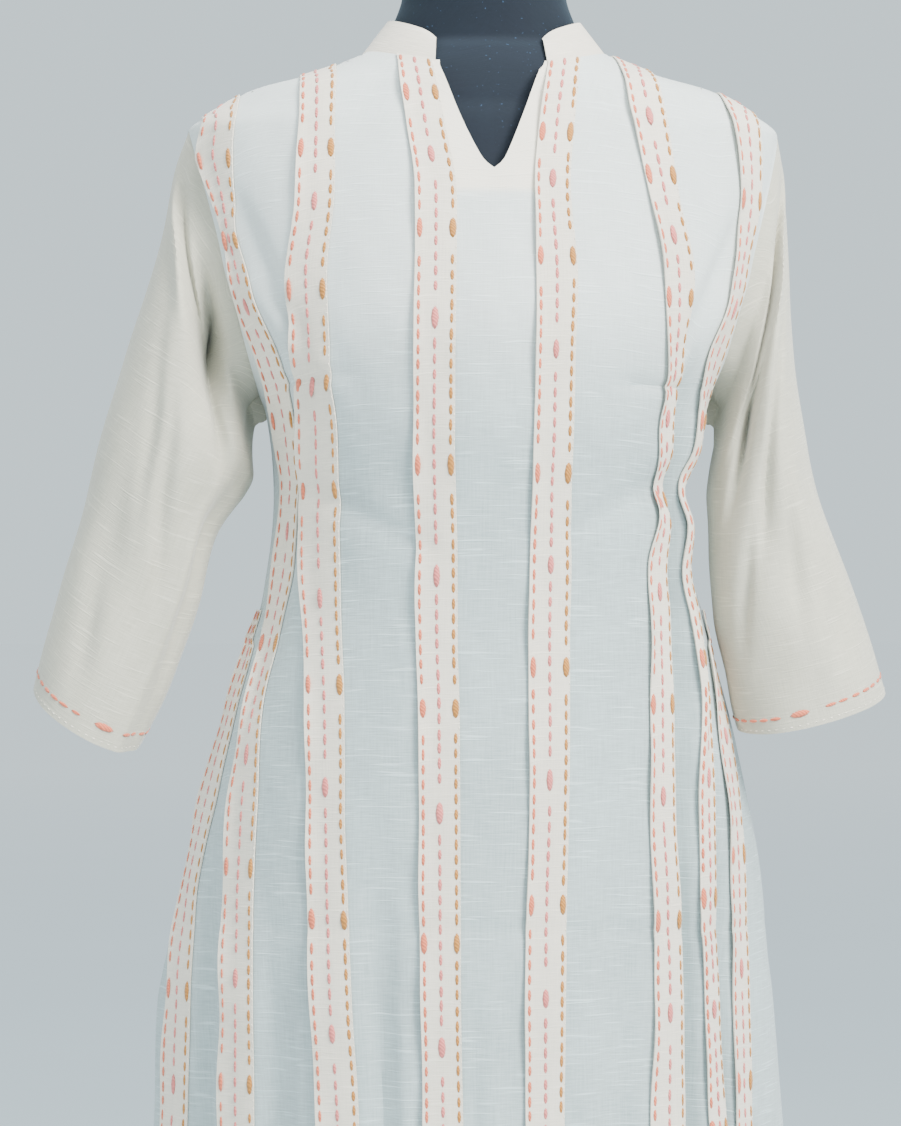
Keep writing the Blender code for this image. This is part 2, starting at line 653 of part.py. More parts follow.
def main():
    for obj in list(bpy.data.objects):
        bpy.data.objects.remove(obj)
    front = front_points()
    normals = normals_of(front)
    cloth("front", front, WALL, "sage_cotton", cut_strip=len(FRONT_LINES) - 1)
    cloth("back", back_points(), WALL, "sage_cotton")
    make_bands(front, normals)
    make_facing(front, normals)
    cloth("collar", collar_points(), BAND_WALL, "cream_cotton")
    for name in SLEEVES:
        cloth(name, sleeve_points(name), WALL, "cream_cotton")
    make_form()
    make_stand()


main()
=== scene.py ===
"""A kurta tunic of slub cotton with stitched bands, dressed on a plain form: its cloth, thread, covering
and stand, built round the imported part, in metres."""

import math

import bpy
import numpy as np
from bpy.props import FloatProperty, FloatVectorProperty, IntProperty, PointerProperty
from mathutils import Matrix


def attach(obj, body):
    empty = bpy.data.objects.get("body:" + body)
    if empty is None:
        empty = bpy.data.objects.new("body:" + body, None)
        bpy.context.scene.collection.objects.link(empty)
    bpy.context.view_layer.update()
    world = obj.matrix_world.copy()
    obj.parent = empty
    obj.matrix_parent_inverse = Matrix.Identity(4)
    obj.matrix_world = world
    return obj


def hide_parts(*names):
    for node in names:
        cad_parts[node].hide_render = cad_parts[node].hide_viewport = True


bl_info = {
    "name": "Kurta on a dress form",
    "version": (1, 0, 0),
    "blender": (4, 5, 0),
    "location": "3D View > Sidebar > Kurta",
    "description": "Builds the kurta's cloth, stitching and form round the packed part",
    "category": "Object",
}

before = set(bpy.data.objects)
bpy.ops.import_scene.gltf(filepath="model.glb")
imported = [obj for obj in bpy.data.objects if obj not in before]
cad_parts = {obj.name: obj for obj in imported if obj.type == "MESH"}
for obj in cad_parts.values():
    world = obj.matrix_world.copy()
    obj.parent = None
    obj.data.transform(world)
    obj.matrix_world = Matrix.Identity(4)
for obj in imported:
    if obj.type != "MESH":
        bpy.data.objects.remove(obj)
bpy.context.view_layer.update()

# Seams, the oval's power and the form's lower end
SEAM_GAP = 0.0005
OVAL_POWER = 2.2
FORM_BOTTOM = 0.716

# Meshing: points closer than this are one, and edges sharper than this angle stay sharp
SAME_POINT = 1e-5
SHARP_EDGE = math.radians(40)

# Heights on the garment
NECK_POINT = 1.3964
NECK_FRONT = 1.385
NECK_BACK = 1.391
TABLE_TOP = 1.390
NOTCH_BOTTOM = 1.3145
SHOULDER_POINT = 1.346
UNDERARM = 1.163
SLIT_TOP = 0.769
HEM = 0.300
SLIT_TURN = math.radians(4)

# Distances from the middle to the edge of the V's mouth, to the neck point and to the shoulder point
NOTCH_HALF = 0.033
NECK_HALF = 0.079
SHOULDER_HALF = 0.190

# How steeply the neckline rises towards the neck point
NECK_CURVE = 1.5

# The garment's oval sections: height, half width, shift to the right, front depth, back depth
SECTIONS = (
    (0.300, 0.2450, -0.0060, 0.150, 0.150),
    (0.500, 0.2240, -0.0080, 0.141, 0.141),
    (0.707, 0.2035, -0.0090, 0.131, 0.130),
    (0.788, 0.1990, -0.0110, 0.127, 0.126),
    (0.820, 0.1940, -0.0100, 0.126, 0.124),
    (0.885, 0.1835, -0.0060, 0.122, 0.119),
    (0.949, 0.1687, -0.0050, 0.118, 0.109),
    (0.982, 0.1600, -0.0045, 0.115, 0.102),
    (1.014, 0.1505, -0.0035, 0.113, 0.096),
    (1.046, 0.1410, -0.0020, 0.112, 0.090),
    (1.110, 0.1345, -0.0010, 0.115, 0.090),
    (1.163, 0.1400, 0.0000, 0.121, 0.099),
    (1.205, 0.1580, 0.0000, 0.122, 0.104),
    (1.250, 0.1740, 0.0000, 0.115, 0.106),
    (1.300, 0.1860, 0.0000, 0.102, 0.102),
    (SHOULDER_POINT, SHOULDER_HALF, 0.0000, 0.086, 0.092),
    (1.359, 0.1740, 0.0000, 0.081, 0.087),
    (1.372, 0.1510, 0.0000, 0.076, 0.080),
    (1.381, 0.1180, 0.0000, 0.071, 0.073),
    (1.3893, 0.0950, 0.0000, 0.066, 0.066),
    (NECK_POINT, NECK_HALF, 0.0000, 0.062, 0.058),
)

# How the section closes towards its side edges: height, power. Low ones are round and high ones lens-like,
# because below the hips the front and the back hang as two sheets from their side seams.
CLOSING = (
    (0.300, 0.80),
    (0.700, 0.76),
    (0.860, 0.66),
    (0.950, 0.57),
    (1.040, 0.49),
    (1.110, 1 / OVAL_POWER),
    (1.400, 1 / OVAL_POWER),
)

# The armhole's edge across from the middle: height, half width
ARMHOLE = (
    (UNDERARM, 0.1400),
    (1.205, 0.1535),
    (1.250, 0.1650),
    (1.300, 0.1780),
    (1.330, 0.1860),
    (SHOULDER_POINT, SHOULDER_HALF),
)

BANDS = 8

# Where the eight bands' left and right edges stand across the front, in millimetres, by height in mm.
# Bands 1 and 8 come out of the side seams low down: 0 leaves their edges on the seam.
BAND_EDGES = (
    # height, 1 left, right, 2 left, right, 3 left, right, 4 left, right, then 5 to 8 the same way
    (300, -243, -232, -206, -184, -132, -107, -58, -32, 26, 52, 110, 134, 172, 186, 203, 218),
    (720, -206, -191, -170, -150, -110, -86, -47, -23, 15, 39, 94, 118, 137, 147, 154, 166),
    (800, -203, -189, -169, -150, -114, -90, -48, -24, 15, 40, 98, 117, 134, 143, 153, 165),
    (860, -194, -185, -167, -149, -116, -92, -49, -24, 16, 41, 97, 116, 131, 140, 152, 164),
    (920, -181, -172, -163, -146, -116, -94, -49, -24, 18, 43, 95, 113, 131, 140, 148, 160),
    (980, -164, -158, -153, -143, -116, -94, -49, -24, 18, 44, 96, 113, 131, 139, 142, 150),
    (1020, -150, -147, -145, -135, -117, -95, -50, -25, 18, 44, 96, 112, 126, 136, 139, 143),
    (1070, 0, 0, -136, -125, -119, -96, -50, -25, 19, 45, 96, 111, 120, 131, 0, 0),
    (1110, 0, 0, -133, -123, -120, -97, -51, -26, 20, 45, 103, 111, 120, 130, 0, 0),
    (1150, 0, 0, -136, -125, -121, -98, -52, -27, 21, 46, 101, 111, 124, 135, 0, 0),
    (1200, 0, 0, -145, -133, -126, -103, -52, -27, 22, 47, 106, 118, 132, 146, 0, 0),
    (1250, 0, 0, -160, -149, -129, -105, -51, -26, 23, 49, 103, 124, 148, 160, 0, 0),
    (1300, 0, 0, -177, -162, -123, -100, -50, -25, 23, 46, 94, 115, 157, 172, 0, 0),
    (1345, 0, 0, -182, -162, -121, -99, -55, -31, 27, 50, 86, 109, 154, 174, 0, 0),
    (1390, 0, 0, -180, -157, -119, -96, -59, -38, 35, 56, 80, 103, 148, 172, 0, 0),
)

# How far the empty right side is pinched in at the waist: height, inward
PINCH = (
    (1.040, 0.0000),
    (1.064, 0.0030),
    (1.093, -0.0010),
    (1.114, 0.0065),
    (1.143, -0.0020),
    (1.170, 0.0000),
)

# The V at the neck: height, half width
NOTCH = (
    (NOTCH_BOTTOM, 0.0000),
    (1.3190, 0.0055),
    (1.3270, 0.0100),
    (1.3490, 0.0195),
    (1.3720, 0.0280),
    (NECK_FRONT, NOTCH_HALF),
)

# Long folds, as soft ridges (+) and troughs (-): cloth line that the fold follows, its spread in lines,
# lowest and highest height, height over which each end fades, depth
FOLDS = (
    (4.55, 0.32, 0.30, 1.24, 0.10, -0.0150),
    (5.10, 0.30, 0.98, 1.21, 0.06, 0.0050),
    (6.50, 0.30, 0.30, 0.95, 0.10, -0.0080),
    (2.50, 0.35, 0.30, 0.98, 0.16, -0.0060),
    (0.00, 0.60, 0.30, 0.84, 0.16, 0.0030),
    (-2.50, 0.35, 0.30, 0.96, 0.16, -0.0055),
    (-4.50, 0.35, 0.30, 0.90, 0.16, -0.0060),
    (-6.50, 0.30, 0.30, 0.92, 0.12, -0.0070),
    (-5.50, 0.80, 1.02, 1.22, 0.06, -0.0035),
)

# Cloth lines: 0 is the middle of the front, 1 to 8 are band edges going out, and 9 is the side edge
NECK_LINE = 2.65
SHOULDER_LINE = 6
SIDE_LINE = 9
LEAST_TURN = math.radians(1.3)
BACK_SPREAD = 0.45
SIDE_BAND_TOP = 1.04
LAST_TIED = 1.37


# Each sleeve's course: share of its length, outer edge across and height, inner edge across and
# height, middle's y, half depth, how far the front of the ring dips below its back
SLEEVES = {
    "sleeve_left": (
        (0.00, -0.1906, 1.3460, -0.1406, 1.1625, 0.000, 0.050, 0.000),
        (0.07, -0.2000, 1.3200, -0.1480, 1.1560, 0.000, 0.047, 0.001),
        (0.16, -0.2060, 1.2850, -0.1490, 1.1450, -0.002, 0.049, 0.002),
        (0.28, -0.2170, 1.2420, -0.1490, 1.1300, -0.004, 0.052, 0.003),
        (0.40, -0.2310, 1.2000, -0.1540, 1.1140, -0.006, 0.052, 0.004),
        (0.55, -0.2480, 1.1420, -0.1720, 1.0860, -0.008, 0.048, 0.006),
        (0.70, -0.2630, 1.0850, -0.1830, 1.0460, -0.010, 0.044, 0.008),
        (0.85, -0.2750, 1.0380, -0.1985, 1.0010, -0.012, 0.041, 0.010),
        (1.00, -0.2890, 0.9900, -0.2205, 0.9540, -0.014, 0.038, 0.012),
    ),
    "sleeve_right": (
        (0.00, 0.1906, 1.3460, 0.1406, 1.1625, 0.000, 0.050, 0.000),
        (0.07, 0.1950, 1.3200, 0.1490, 1.1560, 0.000, 0.047, 0.000),
        (0.16, 0.1965, 1.2880, 0.1490, 1.1450, -0.002, 0.049, 0.000),
        (0.28, 0.1965, 1.2450, 0.1465, 1.1280, -0.006, 0.052, 0.001),
        (0.40, 0.1990, 1.2020, 0.1445, 1.1080, -0.010, 0.051, 0.002),
        (0.55, 0.2080, 1.1420, 0.1440, 1.0750, -0.014, 0.048, 0.003),
        (0.70, 0.2240, 1.0870, 0.1470, 1.0360, -0.018, 0.045, 0.004),
        (0.85, 0.2400, 1.0380, 0.1540, 0.9980, -0.024, 0.043, 0.005),
        (1.00, 0.2567, 0.9880, 0.1605, 0.9630, -0.028, 0.041, 0.007),
    ),
}

# Folds in the sleeves: share along and its spread, turn round the ring from the outer edge by way of
# the front and its spread, in degrees, depth outwards
SLEEVE_FOLDS = {
    "sleeve_left": (
        (0.18, 0.11, 100, 22, -0.026),
        (0.24, 0.14, 62, 14, 0.004),
        (0.12, 0.05, 40, 22, 0.004),
        (0.60, 0.20, 60, 16, -0.004),
        (0.18, 0.15, 240, 26, -0.012),
    ),
    "sleeve_right": (
        (0.12, 0.06, 40, 22, -0.008),
        (0.22, 0.10, 60, 18, 0.005),
        (0.34, 0.14, 118, 22, -0.014),
        (0.48, 0.16, 92, 14, -0.005),
        (0.62, 0.20, 66, 14, 0.003),
        (0.18, 0.15, 240, 26, -0.012),
    ),
}
ARMHOLE_FADE = 0.30

# The stand collar: its height above the neckline and the seam's gap, how far its top leans in, where
# its ends stand, its depths to the front and to the back, and how much its ends are rounded
COLLAR_GAP = 0.0012
COLLAR_RISE = 0.0204
COLLAR_LEAN = 0.0165
COLLAR_END = 0.0355
COLLAR_END_LEAN = 0.0020
COLLAR_FRONT = 0.0660
COLLAR_BACK = 0.0620
COLLAR_ROUNDING = 0.25
COLLAR_ROUND = 0.10
COLLAR_TURN = 0.20

# The facing behind the V: the cloth line that it reaches across, and its lower edge's height
FACING_LINE = 1
FACING_FOOT = 1.2985

# The form's oval sections: height, half width, shift, front depth, back depth
FORM_SECTIONS = (
    (FORM_BOTTOM, 0.155, -0.005, 0.100, 0.102),
    (0.760, 0.156, -0.005, 0.103, 0.106),
    (0.850, 0.153, -0.004, 0.102, 0.106),
    (0.950, 0.139, -0.003, 0.094, 0.094),
    (1.050, 0.119, -0.001, 0.086, 0.077),
    (1.110, 0.113, 0.000, 0.092, 0.076),
    (1.163, 0.117, 0.000, 0.106, 0.086),
    (1.205, 0.126, 0.000, 0.112, 0.094),
    (1.250, 0.138, 0.000, 0.105, 0.096),
    (1.300, 0.147, 0.000, 0.092, 0.092),
    (1.330, 0.156, 0.000, 0.081, 0.084),
    (1.3496, 0.1628, 0.000, 0.074, 0.078),
    (1.3605, 0.157, 0.000, 0.068, 0.072),
    (1.3670, 0.148, 0.000, 0.066, 0.070),
    (1.3779, 0.118, 0.000, 0.062, 0.064),
    (1.3863, 0.093, 0.000, 0.058, 0.058),
    (1.3955, 0.071, 0.000, 0.0515, 0.051),
    (1.4040, 0.0635, 0.000, 0.0432, 0.0425),
    (1.4151, 0.0592, 0.000, 0.0428, 0.0412),
    (1.4330, 0.0530, 0.000, 0.0430, 0.0405),
    (1.4620, 0.0500, 0.000, 0.042, 0.041),
    (1.4660, 0.0460, 0.000, 0.038, 0.037),
)

# Seams as they show, and the cloth's own walls
SEAM_SHOWN = 0.0001
SLEEVE_TUCK = 0.0025

# Where waves fade out: shares of the way below the top edges, cloth lines inside the side edges, and the
# share of the sleeves below the armholes
TOP_FADE = 0.06
FRONT_SIDE_FADE = 0.4
BACK_SIDE_FADE = 0.8
SLEEVE_TOP_FADE = 0.10

# A sleeve's half width, length and half depth, as its waves take them
SLEEVE_GIRTH = 0.05
SLEEVE_RUN = 0.39
SLEEVE_DEPTH = 0.04

CLOTH_MAP = "cloth"
FACING_MASK = "facing"

# Steps of the grids
NOTCH_ROWS = 24
CHEST_ROWS = 38
SKIRT_ROWS = 190
LINE_STEPS = (9, 7, 12, 7, 12, 6, 6, 4, 4)
BACK_STEPS = 120
SLEEVE_STEPS = 132
SLEEVE_LENGTH_STEPS = 120
COLLAR_STEPS = 120
COLLAR_HEIGHT_STEPS = 10
FORM_STEPS = 96
FORM_ROWS = 126
TOP_BLEND = 0.03

# Finer folds: cloth line, spread in lines, lowest and highest height, fade at each end, depth outwards
FINE_FOLDS = (
    (4.35, 0.14, 0.30, 1.12, 0.20, -0.0036),
    (4.80, 0.12, 0.30, 1.00, 0.20, 0.0030),
    (2.30, 0.15, 0.30, 0.92, 0.20, 0.0036),
    (2.72, 0.13, 0.30, 0.88, 0.20, -0.0042),
    (-2.30, 0.14, 0.30, 0.94, 0.20, 0.0036),
    (-2.70, 0.13, 0.30, 0.92, 0.20, -0.0044),
    (-4.30, 0.13, 0.30, 0.85, 0.20, 0.0034),
    (-4.75, 0.13, 0.30, 0.90, 0.20, -0.0040),
    (6.40, 0.18, 0.30, 1.00, 0.12, -0.0040),
    (0.50, 0.22, 0.30, 0.80, 0.20, -0.0018),
    (-0.60, 0.22, 0.30, 0.85, 0.20, -0.0018),
)
BACK_FOLDS = (
    (-6.2, 0.7, 0.30, 0.98, 0.20, -0.0100),
    (-3.6, 0.7, 0.30, 0.90, 0.20, 0.0085),
    (-1.4, 0.5, 0.30, 0.96, 0.20, -0.0080),
    (0.9, 0.7, 0.30, 0.86, 0.20, 0.0090),
    (3.1, 0.6, 0.30, 0.94, 0.20, -0.0095),
    (5.6, 0.8, 0.30, 0.90, 0.20, 0.0080),
    (7.3, 0.6, 0.30, 0.92, 0.16, -0.0040),
    (2.0, 1.4, 1.02, 1.16, 0.06, 0.0030),
    (-3.0, 1.2, 1.04, 1.14, 0.06, 0.0026),
)

# Short creases: distance across, height, length, tilt from upright in degrees, width, depth outwards
FRONT_CREASES = (
    (-0.113, 1.185, 0.045, 84, 0.0035, -0.0022),
    (0.100, 1.180, 0.050, 92, 0.0035, -0.0024),
    (-0.060, 0.846, 0.210, 89, 0.0040, -0.0008),
    (0.085, 0.842, 0.200, 92, 0.0040, -0.0008),
    (-0.070, 1.366, 0.034, 12, 0.0030, -0.0012),
    (-0.062, 1.368, 0.030, 4, 0.0025, -0.0010),
    (-0.078, 1.362, 0.034, 20, 0.0030, -0.0010),
    (0.071, 1.366, 0.034, -12, 0.0030, -0.0012),
    (0.062, 1.369, 0.030, -4, 0.0025, -0.0010),
    (0.080, 1.362, 0.034, -20, 0.0030, -0.0010),
    (-0.138, 1.245, 0.120, -24, 0.0060, -0.0044),
    (-0.130, 1.215, 0.120, -40, 0.0080, 0.0026),
    (0.136, 1.240, 0.120, 24, 0.0060, -0.0040),
    (0.126, 1.205, 0.120, 38, 0.0080, 0.0026),
    (0.084, 1.110, 0.100, 62, 0.0080, -0.0028),
    (-0.085, 1.100, 0.100, -62, 0.0080, -0.0022),
    (0.000, 0.322, 0.900, 90, 0.0014, -0.0007),
)
BACK_CREASES = (
    (-0.060, 1.090, 0.120, 70, 0.0090, -0.0022),
    (0.070, 1.080, 0.120, -66, 0.0090, -0.0022),
    (0.010, 1.120, 0.160, 88, 0.0100, 0.0018),
    (-0.125, 1.235, 0.110, 28, 0.0080, -0.0018),
    (0.125, 1.235, 0.110, -28, 0.0080, -0.0018),
    (0.000, 0.322, 0.900, 90, 0.0014, -0.0007),
)

# Slow waves in the cloth: size, length across, length up, shift
CLOTH_WAVES = (
    (0.00060, 0.160, 0.900, 0.4),
    (0.00040, -0.070, 0.310, 1.9),
    (0.00025, 0.045, -0.200, 3.1),
    (0.00014, 0.030, 0.060, 0.9),
)
SLEEVE_WAVES = (
    (0.00080, 0.110, 0.190, 0.3),
    (0.00050, -0.060, 0.120, 2.1),
    (0.00030, 0.050, 0.080, 4.0),
)

# Creases in the sleeves: share along, spread along, turn in degrees, spread round, slant in degrees a
# sleeve's length, depth outwards
SLEEVE_CREASES = {
    "sleeve_left": (
        (0.17, 0.09, 56, 16, 240, 0.0050),
        (0.18, 0.09, 74, 10, 330, -0.0140),
        (0.18, 0.085, 102, 18, 170, -0.0190),
        (0.30, 0.10, 118, 9, 120, -0.0120),
        (0.07, 0.04, 40, 10, 200, -0.0060),
        (0.62, 0.30, 128, 6, -10, 0.0036),
        (0.62, 0.30, 148, 10, -10, -0.0060),
        (0.52, 0.16, 92, 7, 110, -0.0045),
        (0.44, 0.14, 66, 8, 90, -0.0040),
        (0.72, 0.14, 104, 8, -90, -0.0030),
        (0.82, 0.12, 60, 10, 60, -0.0026),
        (0.30, 0.14, 250, 12, -90, -0.0050),
        (0.55, 0.16, 285, 14, -60, -0.0030),
    ),
    "sleeve_right": (
        (0.16, 0.09, 68, 10, 400, -0.0095),
        (0.16, 0.09, 46, 11, 400, 0.0050),
        (0.07, 0.04, 30, 10, 200, -0.0060),
        (0.30, 0.12, 96, 8, 240, -0.0080),
        (0.36, 0.12, 116, 10, 160, -0.0100),
        (0.46, 0.16, 82, 7, 130, -0.0050),
        (0.64, 0.15, 74, 8, 70, -0.0036),
        (0.68, 0.10, 126, 7, 120, -0.0050),
        (0.84, 0.10, 56, 10, 60, -0.0026),
        (0.30, 0.14, 250, 12, -90, -0.0050),
        (0.55, 0.16, 285, 14, -60, -0.0030),
    ),
}

# Rows of running stitch on each band: name of the thread and its place across the band
STITCH_ROWS = (("coral_thread", 0.10), ("pink_thread", 0.50), ("ochre_thread", 0.90))

# A stitch: its ring's points, where its end rings lie and its power, how high it sits and how deep its ends
# sink as shares of its height, and half the step along a path that gives its direction
STITCH_SIDES = 6
STITCH_RING = 0.62
STITCH_BULGE = 0.7
STITCH_SEAT = 0.25
STITCH_SINK = 0.2
PATH_STEP = 0.002
STITCH_MARGIN = 0.003
BAND_LIFT = 0.0020
BAND_CURL = 0.16

# Heights in mm of each band's long stitches: those of the outer rows and those of the middle row
LONG_STITCHES = {
    1: ((800, 655, 510, 365), (740, 595, 450)),
    2: ((1324, 1272, 1160, 1020, 880, 747, 602, 457), (1230, 1090, 950, 812, 667, 522, 377)),
    3: ((1328, 1239, 1182, 1115, 995, 851, 706, 561, 416), (1294, 1180, 1048, 932, 782, 640, 495, 350)),
    4: ((1363, 1276, 1130, 981, 838, 693, 548, 403), (1323, 1220, 1062, 917, 775, 632, 490, 345)),
    5: ((1338, 1259, 1125, 1006, 861, 716, 571, 426), (1308, 1201, 1069, 937, 804, 660, 515, 370)),
    6: ((1312, 1235, 1110, 982, 848, 703, 558, 413), (1350, 1274, 1160, 1052, 925, 791, 646, 501, 356)),
    7: ((1300, 1160, 1010, 860, 715, 570, 425), (1230, 1085, 935, 790, 640, 495, 350)),
    8: ((885, 742, 597, 452), (960, 813, 668, 523, 378)),
}

# The camera's place: the photograph's size, metres a pixel at the form's middle, distance, turn, middle
# and sensor; and half the floor's side
PHOTO_WIDTH = 901
PIXEL = 0.000645
CAMERA_FAR = 2.3
CAMERA_TURN = math.radians(4)
CAMERA_SIDE = 0.0216
CAMERA_HEIGHT = 1.07
SENSOR = 36.0
FLOOR_HALF = 45.0


# Share of the way out that a point with no step of its own takes as its normal
NO_STEP = 1e-12

# Rows below the shoulder over which a band's curled edge rises
LIFT_ROWS = 8

# A sleeve hem's row of running stitch: its share of the sleeve's length above the hem, and the shares of
# its own length, from the back by way of the outer edge and the front, where its long stitches lie
HEM_ROW = 0.030
HEM_LONG = (0.09, 0.54)

# Fine sewing in the cloth's own colour: its pitch, a stitch's length and width
EDGE_PITCH = 0.0052
EDGE_STITCH = 0.0024
EDGE_WIDTH = 0.0007
FINE_HEIGHT = 0.7


def smooth(table, values, column=1):
    """A table's column at these values, on cubics between its rows. Each row's slope is the harmonic mean
    of the slopes on its two sides, or none where they differ in sign, so the curve never swings past."""
    table = np.asarray(table, float)
    places, levels = table[:, 0], table[:, column]
    steps = np.diff(places)
    slopes = np.diff(levels) / steps
    same_way = slopes[:-1] * slopes[1:] > 0
    total = np.where(same_way, slopes[:-1] + slopes[1:], 1)
    inner = np.where(same_way, 2 * slopes[:-1] * slopes[1:] / total, 0)
    ends = np.concatenate([slopes[:1], inner, slopes[-1:]])
    values = np.clip(values, places[0], places[-1])
    row = np.clip(np.searchsorted(places, values, side="right") - 1, 0, len(steps) - 1)
    step = steps[row]
    t = (values - places[row]) / step
    start = (1 + 2 * t) * (1 - t) ** 2 * levels[row] + t * (1 - t) ** 2 * step * ends[row]
    finish = t * t * (3 - 2 * t) * levels[row + 1] + t * t * (t - 1) * step * ends[row + 1]
    return start + finish


def soft_step(start, end, values):
    """0 before start, 1 after end and 3t^2 - 2t^3 between them."""
    t = np.clip((values - start) / (end - start), 0, 1)
    return t * t * (3 - 2 * t)


def oval_point(turn, height, side, sections=SECTIONS):
    """The oval's point: across = half width times sin(turn), out = depth times the rest of 1 that
    |sin(turn)| to the oval's power leaves, to the closing power there. side is -1 in front and +1 behind."""
    half_width = smooth(sections, height, 1)
    shift = smooth(sections, height, 2)
    depth = smooth(sections, height, 3 if side < 0 else 4)
    across = np.sin(turn)
    closing = 1 / OVAL_POWER
    if sections is SECTIONS:
        closing = smooth(CLOSING, height)
        shift = shift - smooth(PINCH, height) * np.maximum(across, 0) ** 3
    out = np.maximum(1 - np.abs(across) ** OVAL_POWER, 0) ** closing
    return np.stack([shift + half_width * across, side * depth * out, height + 0 * across], axis=-1)


def ridge_height(across):
    """Height of the shoulder seam at this distance from the middle: the sections read the other way round."""
    rows = [(width, height) for height, width, *_ in reversed(SECTIONS) if height >= SHOULDER_POINT]
    return smooth(rows, np.abs(across))


def seam_turn(across, top):
    """Turn of a panel's top edge: a quarter turn on the shoulder seam, and inside the neck point the
    arcsin of its share of the width there."""
    inside = np.arcsin(np.minimum(np.abs(across) / smooth(SECTIONS, top, 1), 1))
    return np.where(np.abs(across) < NECK_HALF - SAME_POINT, inside, np.pi / 2)


def edge_across(line, height):
    """Distance across of one whole cloth line at nominal heights, nan where it runs in the side seam."""
    column = SIDE_LINE + line if line < 0 else SIDE_LINE - 1 + line
    rows = [(row[0] / 1000, row[column] / 1000) for row in BAND_EDGES if row[column]]
    return np.where(height > rows[-1][0], np.nan, smooth(rows, height))


def side_turn(height):
    """Turn of the front's side edge: arcsin of the armhole's share of the width above the underarm, and a
    quarter turn less the slit's below it."""
    armhole = np.arcsin(np.clip(smooth(ARMHOLE, height) / smooth(SECTIONS, height, 1), 0, 1))
    slit = np.pi / 2 - SLIT_TURN * np.clip((SLIT_TOP - height) / (SLIT_TOP - HEM), 0, 1)
    return np.where(height > UNDERARM, armhole, slit)


def line_turn(sign, count, nominal, height):
    """Turn of a whole cloth line on one side: arcsin of its distance across over the half width, kept
    LEAST_TURN a line inside the side edge. Line 0 is the middle, opened by the V."""
    half_width = smooth(SECTIONS, height, 1)
    shift = smooth(SECTIONS, height, 2)
    if count == 0:
        middle = (edge_across(-1, nominal) + edge_across(1, nominal)) / 2 - shift
        gap = np.where(height > NOTCH_BOTTOM, smooth(NOTCH, height), 0)
        return np.arcsin((middle + sign * gap) / half_width)
    side = side_turn(height)
    if count == SIDE_LINE:
        return sign * side
    across = edge_across(sign * count, nominal) - shift
    turn = np.arcsin(np.clip(sign * across / half_width, -1, 1))
    most = side - LEAST_TURN * (SIDE_LINE - count)
    turn = np.minimum(turn, np.where(nominal > LAST_TIED, np.pi / 2, most))
    if count > SHOULDER_LINE:
        inner = np.abs(line_turn(sign, SHOULDER_LINE, nominal, height))
        share = (count - SHOULDER_LINE) / (SIDE_LINE - SHOULDER_LINE)
        turn = np.where(np.isnan(turn), inner + (side - inner) * share, turn)
    return sign * turn


def fold_depth(folds, line, height):
    """Sum of the long folds: depth times a bell across the cloth lines times soft ends along the height."""
    depth = 0 * (line + height)
    for middle, spread, low, high, fade, deep in folds:
        along = soft_step(low - fade, low, height) * (1 - soft_step(high - fade, high, height))
        depth = depth + deep * along * np.exp(-(((line - middle) / spread) ** 2))
    return depth


def crease_depth(creases, across, height):
    """Sum of short creases: depth times a bell over the distance from the crease's line times a bell of
    the fourth power over the distance along it."""
    depth = 0 * (across + height)
    for middle, level, length, tilt, width, deep in creases:
        lean = math.radians(tilt)
        along = (across - middle) * math.sin(lean) + (height - level) * math.cos(lean)
        off = (across - middle) * math.cos(lean) - (height - level) * math.sin(lean)
        depth = depth + deep * np.exp(-((off / width) ** 2) - (2 * along / length) ** 4)
    return depth


def ripple(across, height, waves):
    """Sum of slow waves over the cloth: size times the sine of 2 pi times (across over a first length +
    height over a second one), plus a shift."""
    total = 0 * (across + height)
    for size, length_across, length_up, shift in waves:
        total = total + size * np.sin(2 * np.pi * (across / length_across + height / length_up) + shift)
    return total


def top_edge(across, neck_across, low):
    """Height of a panel's top edge: the shoulder seam, or inside the neck point the neckline, which rises
    as the share of the way out to the power NECK_CURVE."""
    inside = np.clip((np.abs(across) - neck_across[0]) / (neck_across[1] - neck_across[0]), 0, 1)
    neckline = low + (NECK_POINT - low) * inside ** NECK_CURVE
    return np.where(np.abs(across) > neck_across[1], ridge_height(across), neckline)


# Grids of the cloth, rows going down
def grid_shares():
    """Each row's share of the way from the top edge to the underarm, and its height once it is below."""
    notch = (NECK_FRONT - NOTCH_BOTTOM) / (NECK_FRONT - UNDERARM)
    upper = np.concatenate([np.linspace(0, notch, NOTCH_ROWS), np.linspace(notch, 1, CHEST_ROWS)[1:]])
    lower = np.linspace(UNDERARM, HEM, SKIRT_ROWS)[1:]
    share = np.concatenate([upper, np.ones(len(lower))])
    height = np.concatenate([np.full(len(upper), UNDERARM), lower])
    return share[:, None], height[:, None]


def line_counts():
    """Cloth lines of one side's columns, from the middle out: each whole line's gap in equal steps."""
    gaps = [np.linspace(n, n + 1, steps + 1)[:-1] for n, steps in enumerate(LINE_STEPS)]
    return np.concatenate([*gaps, [SIDE_LINE]])


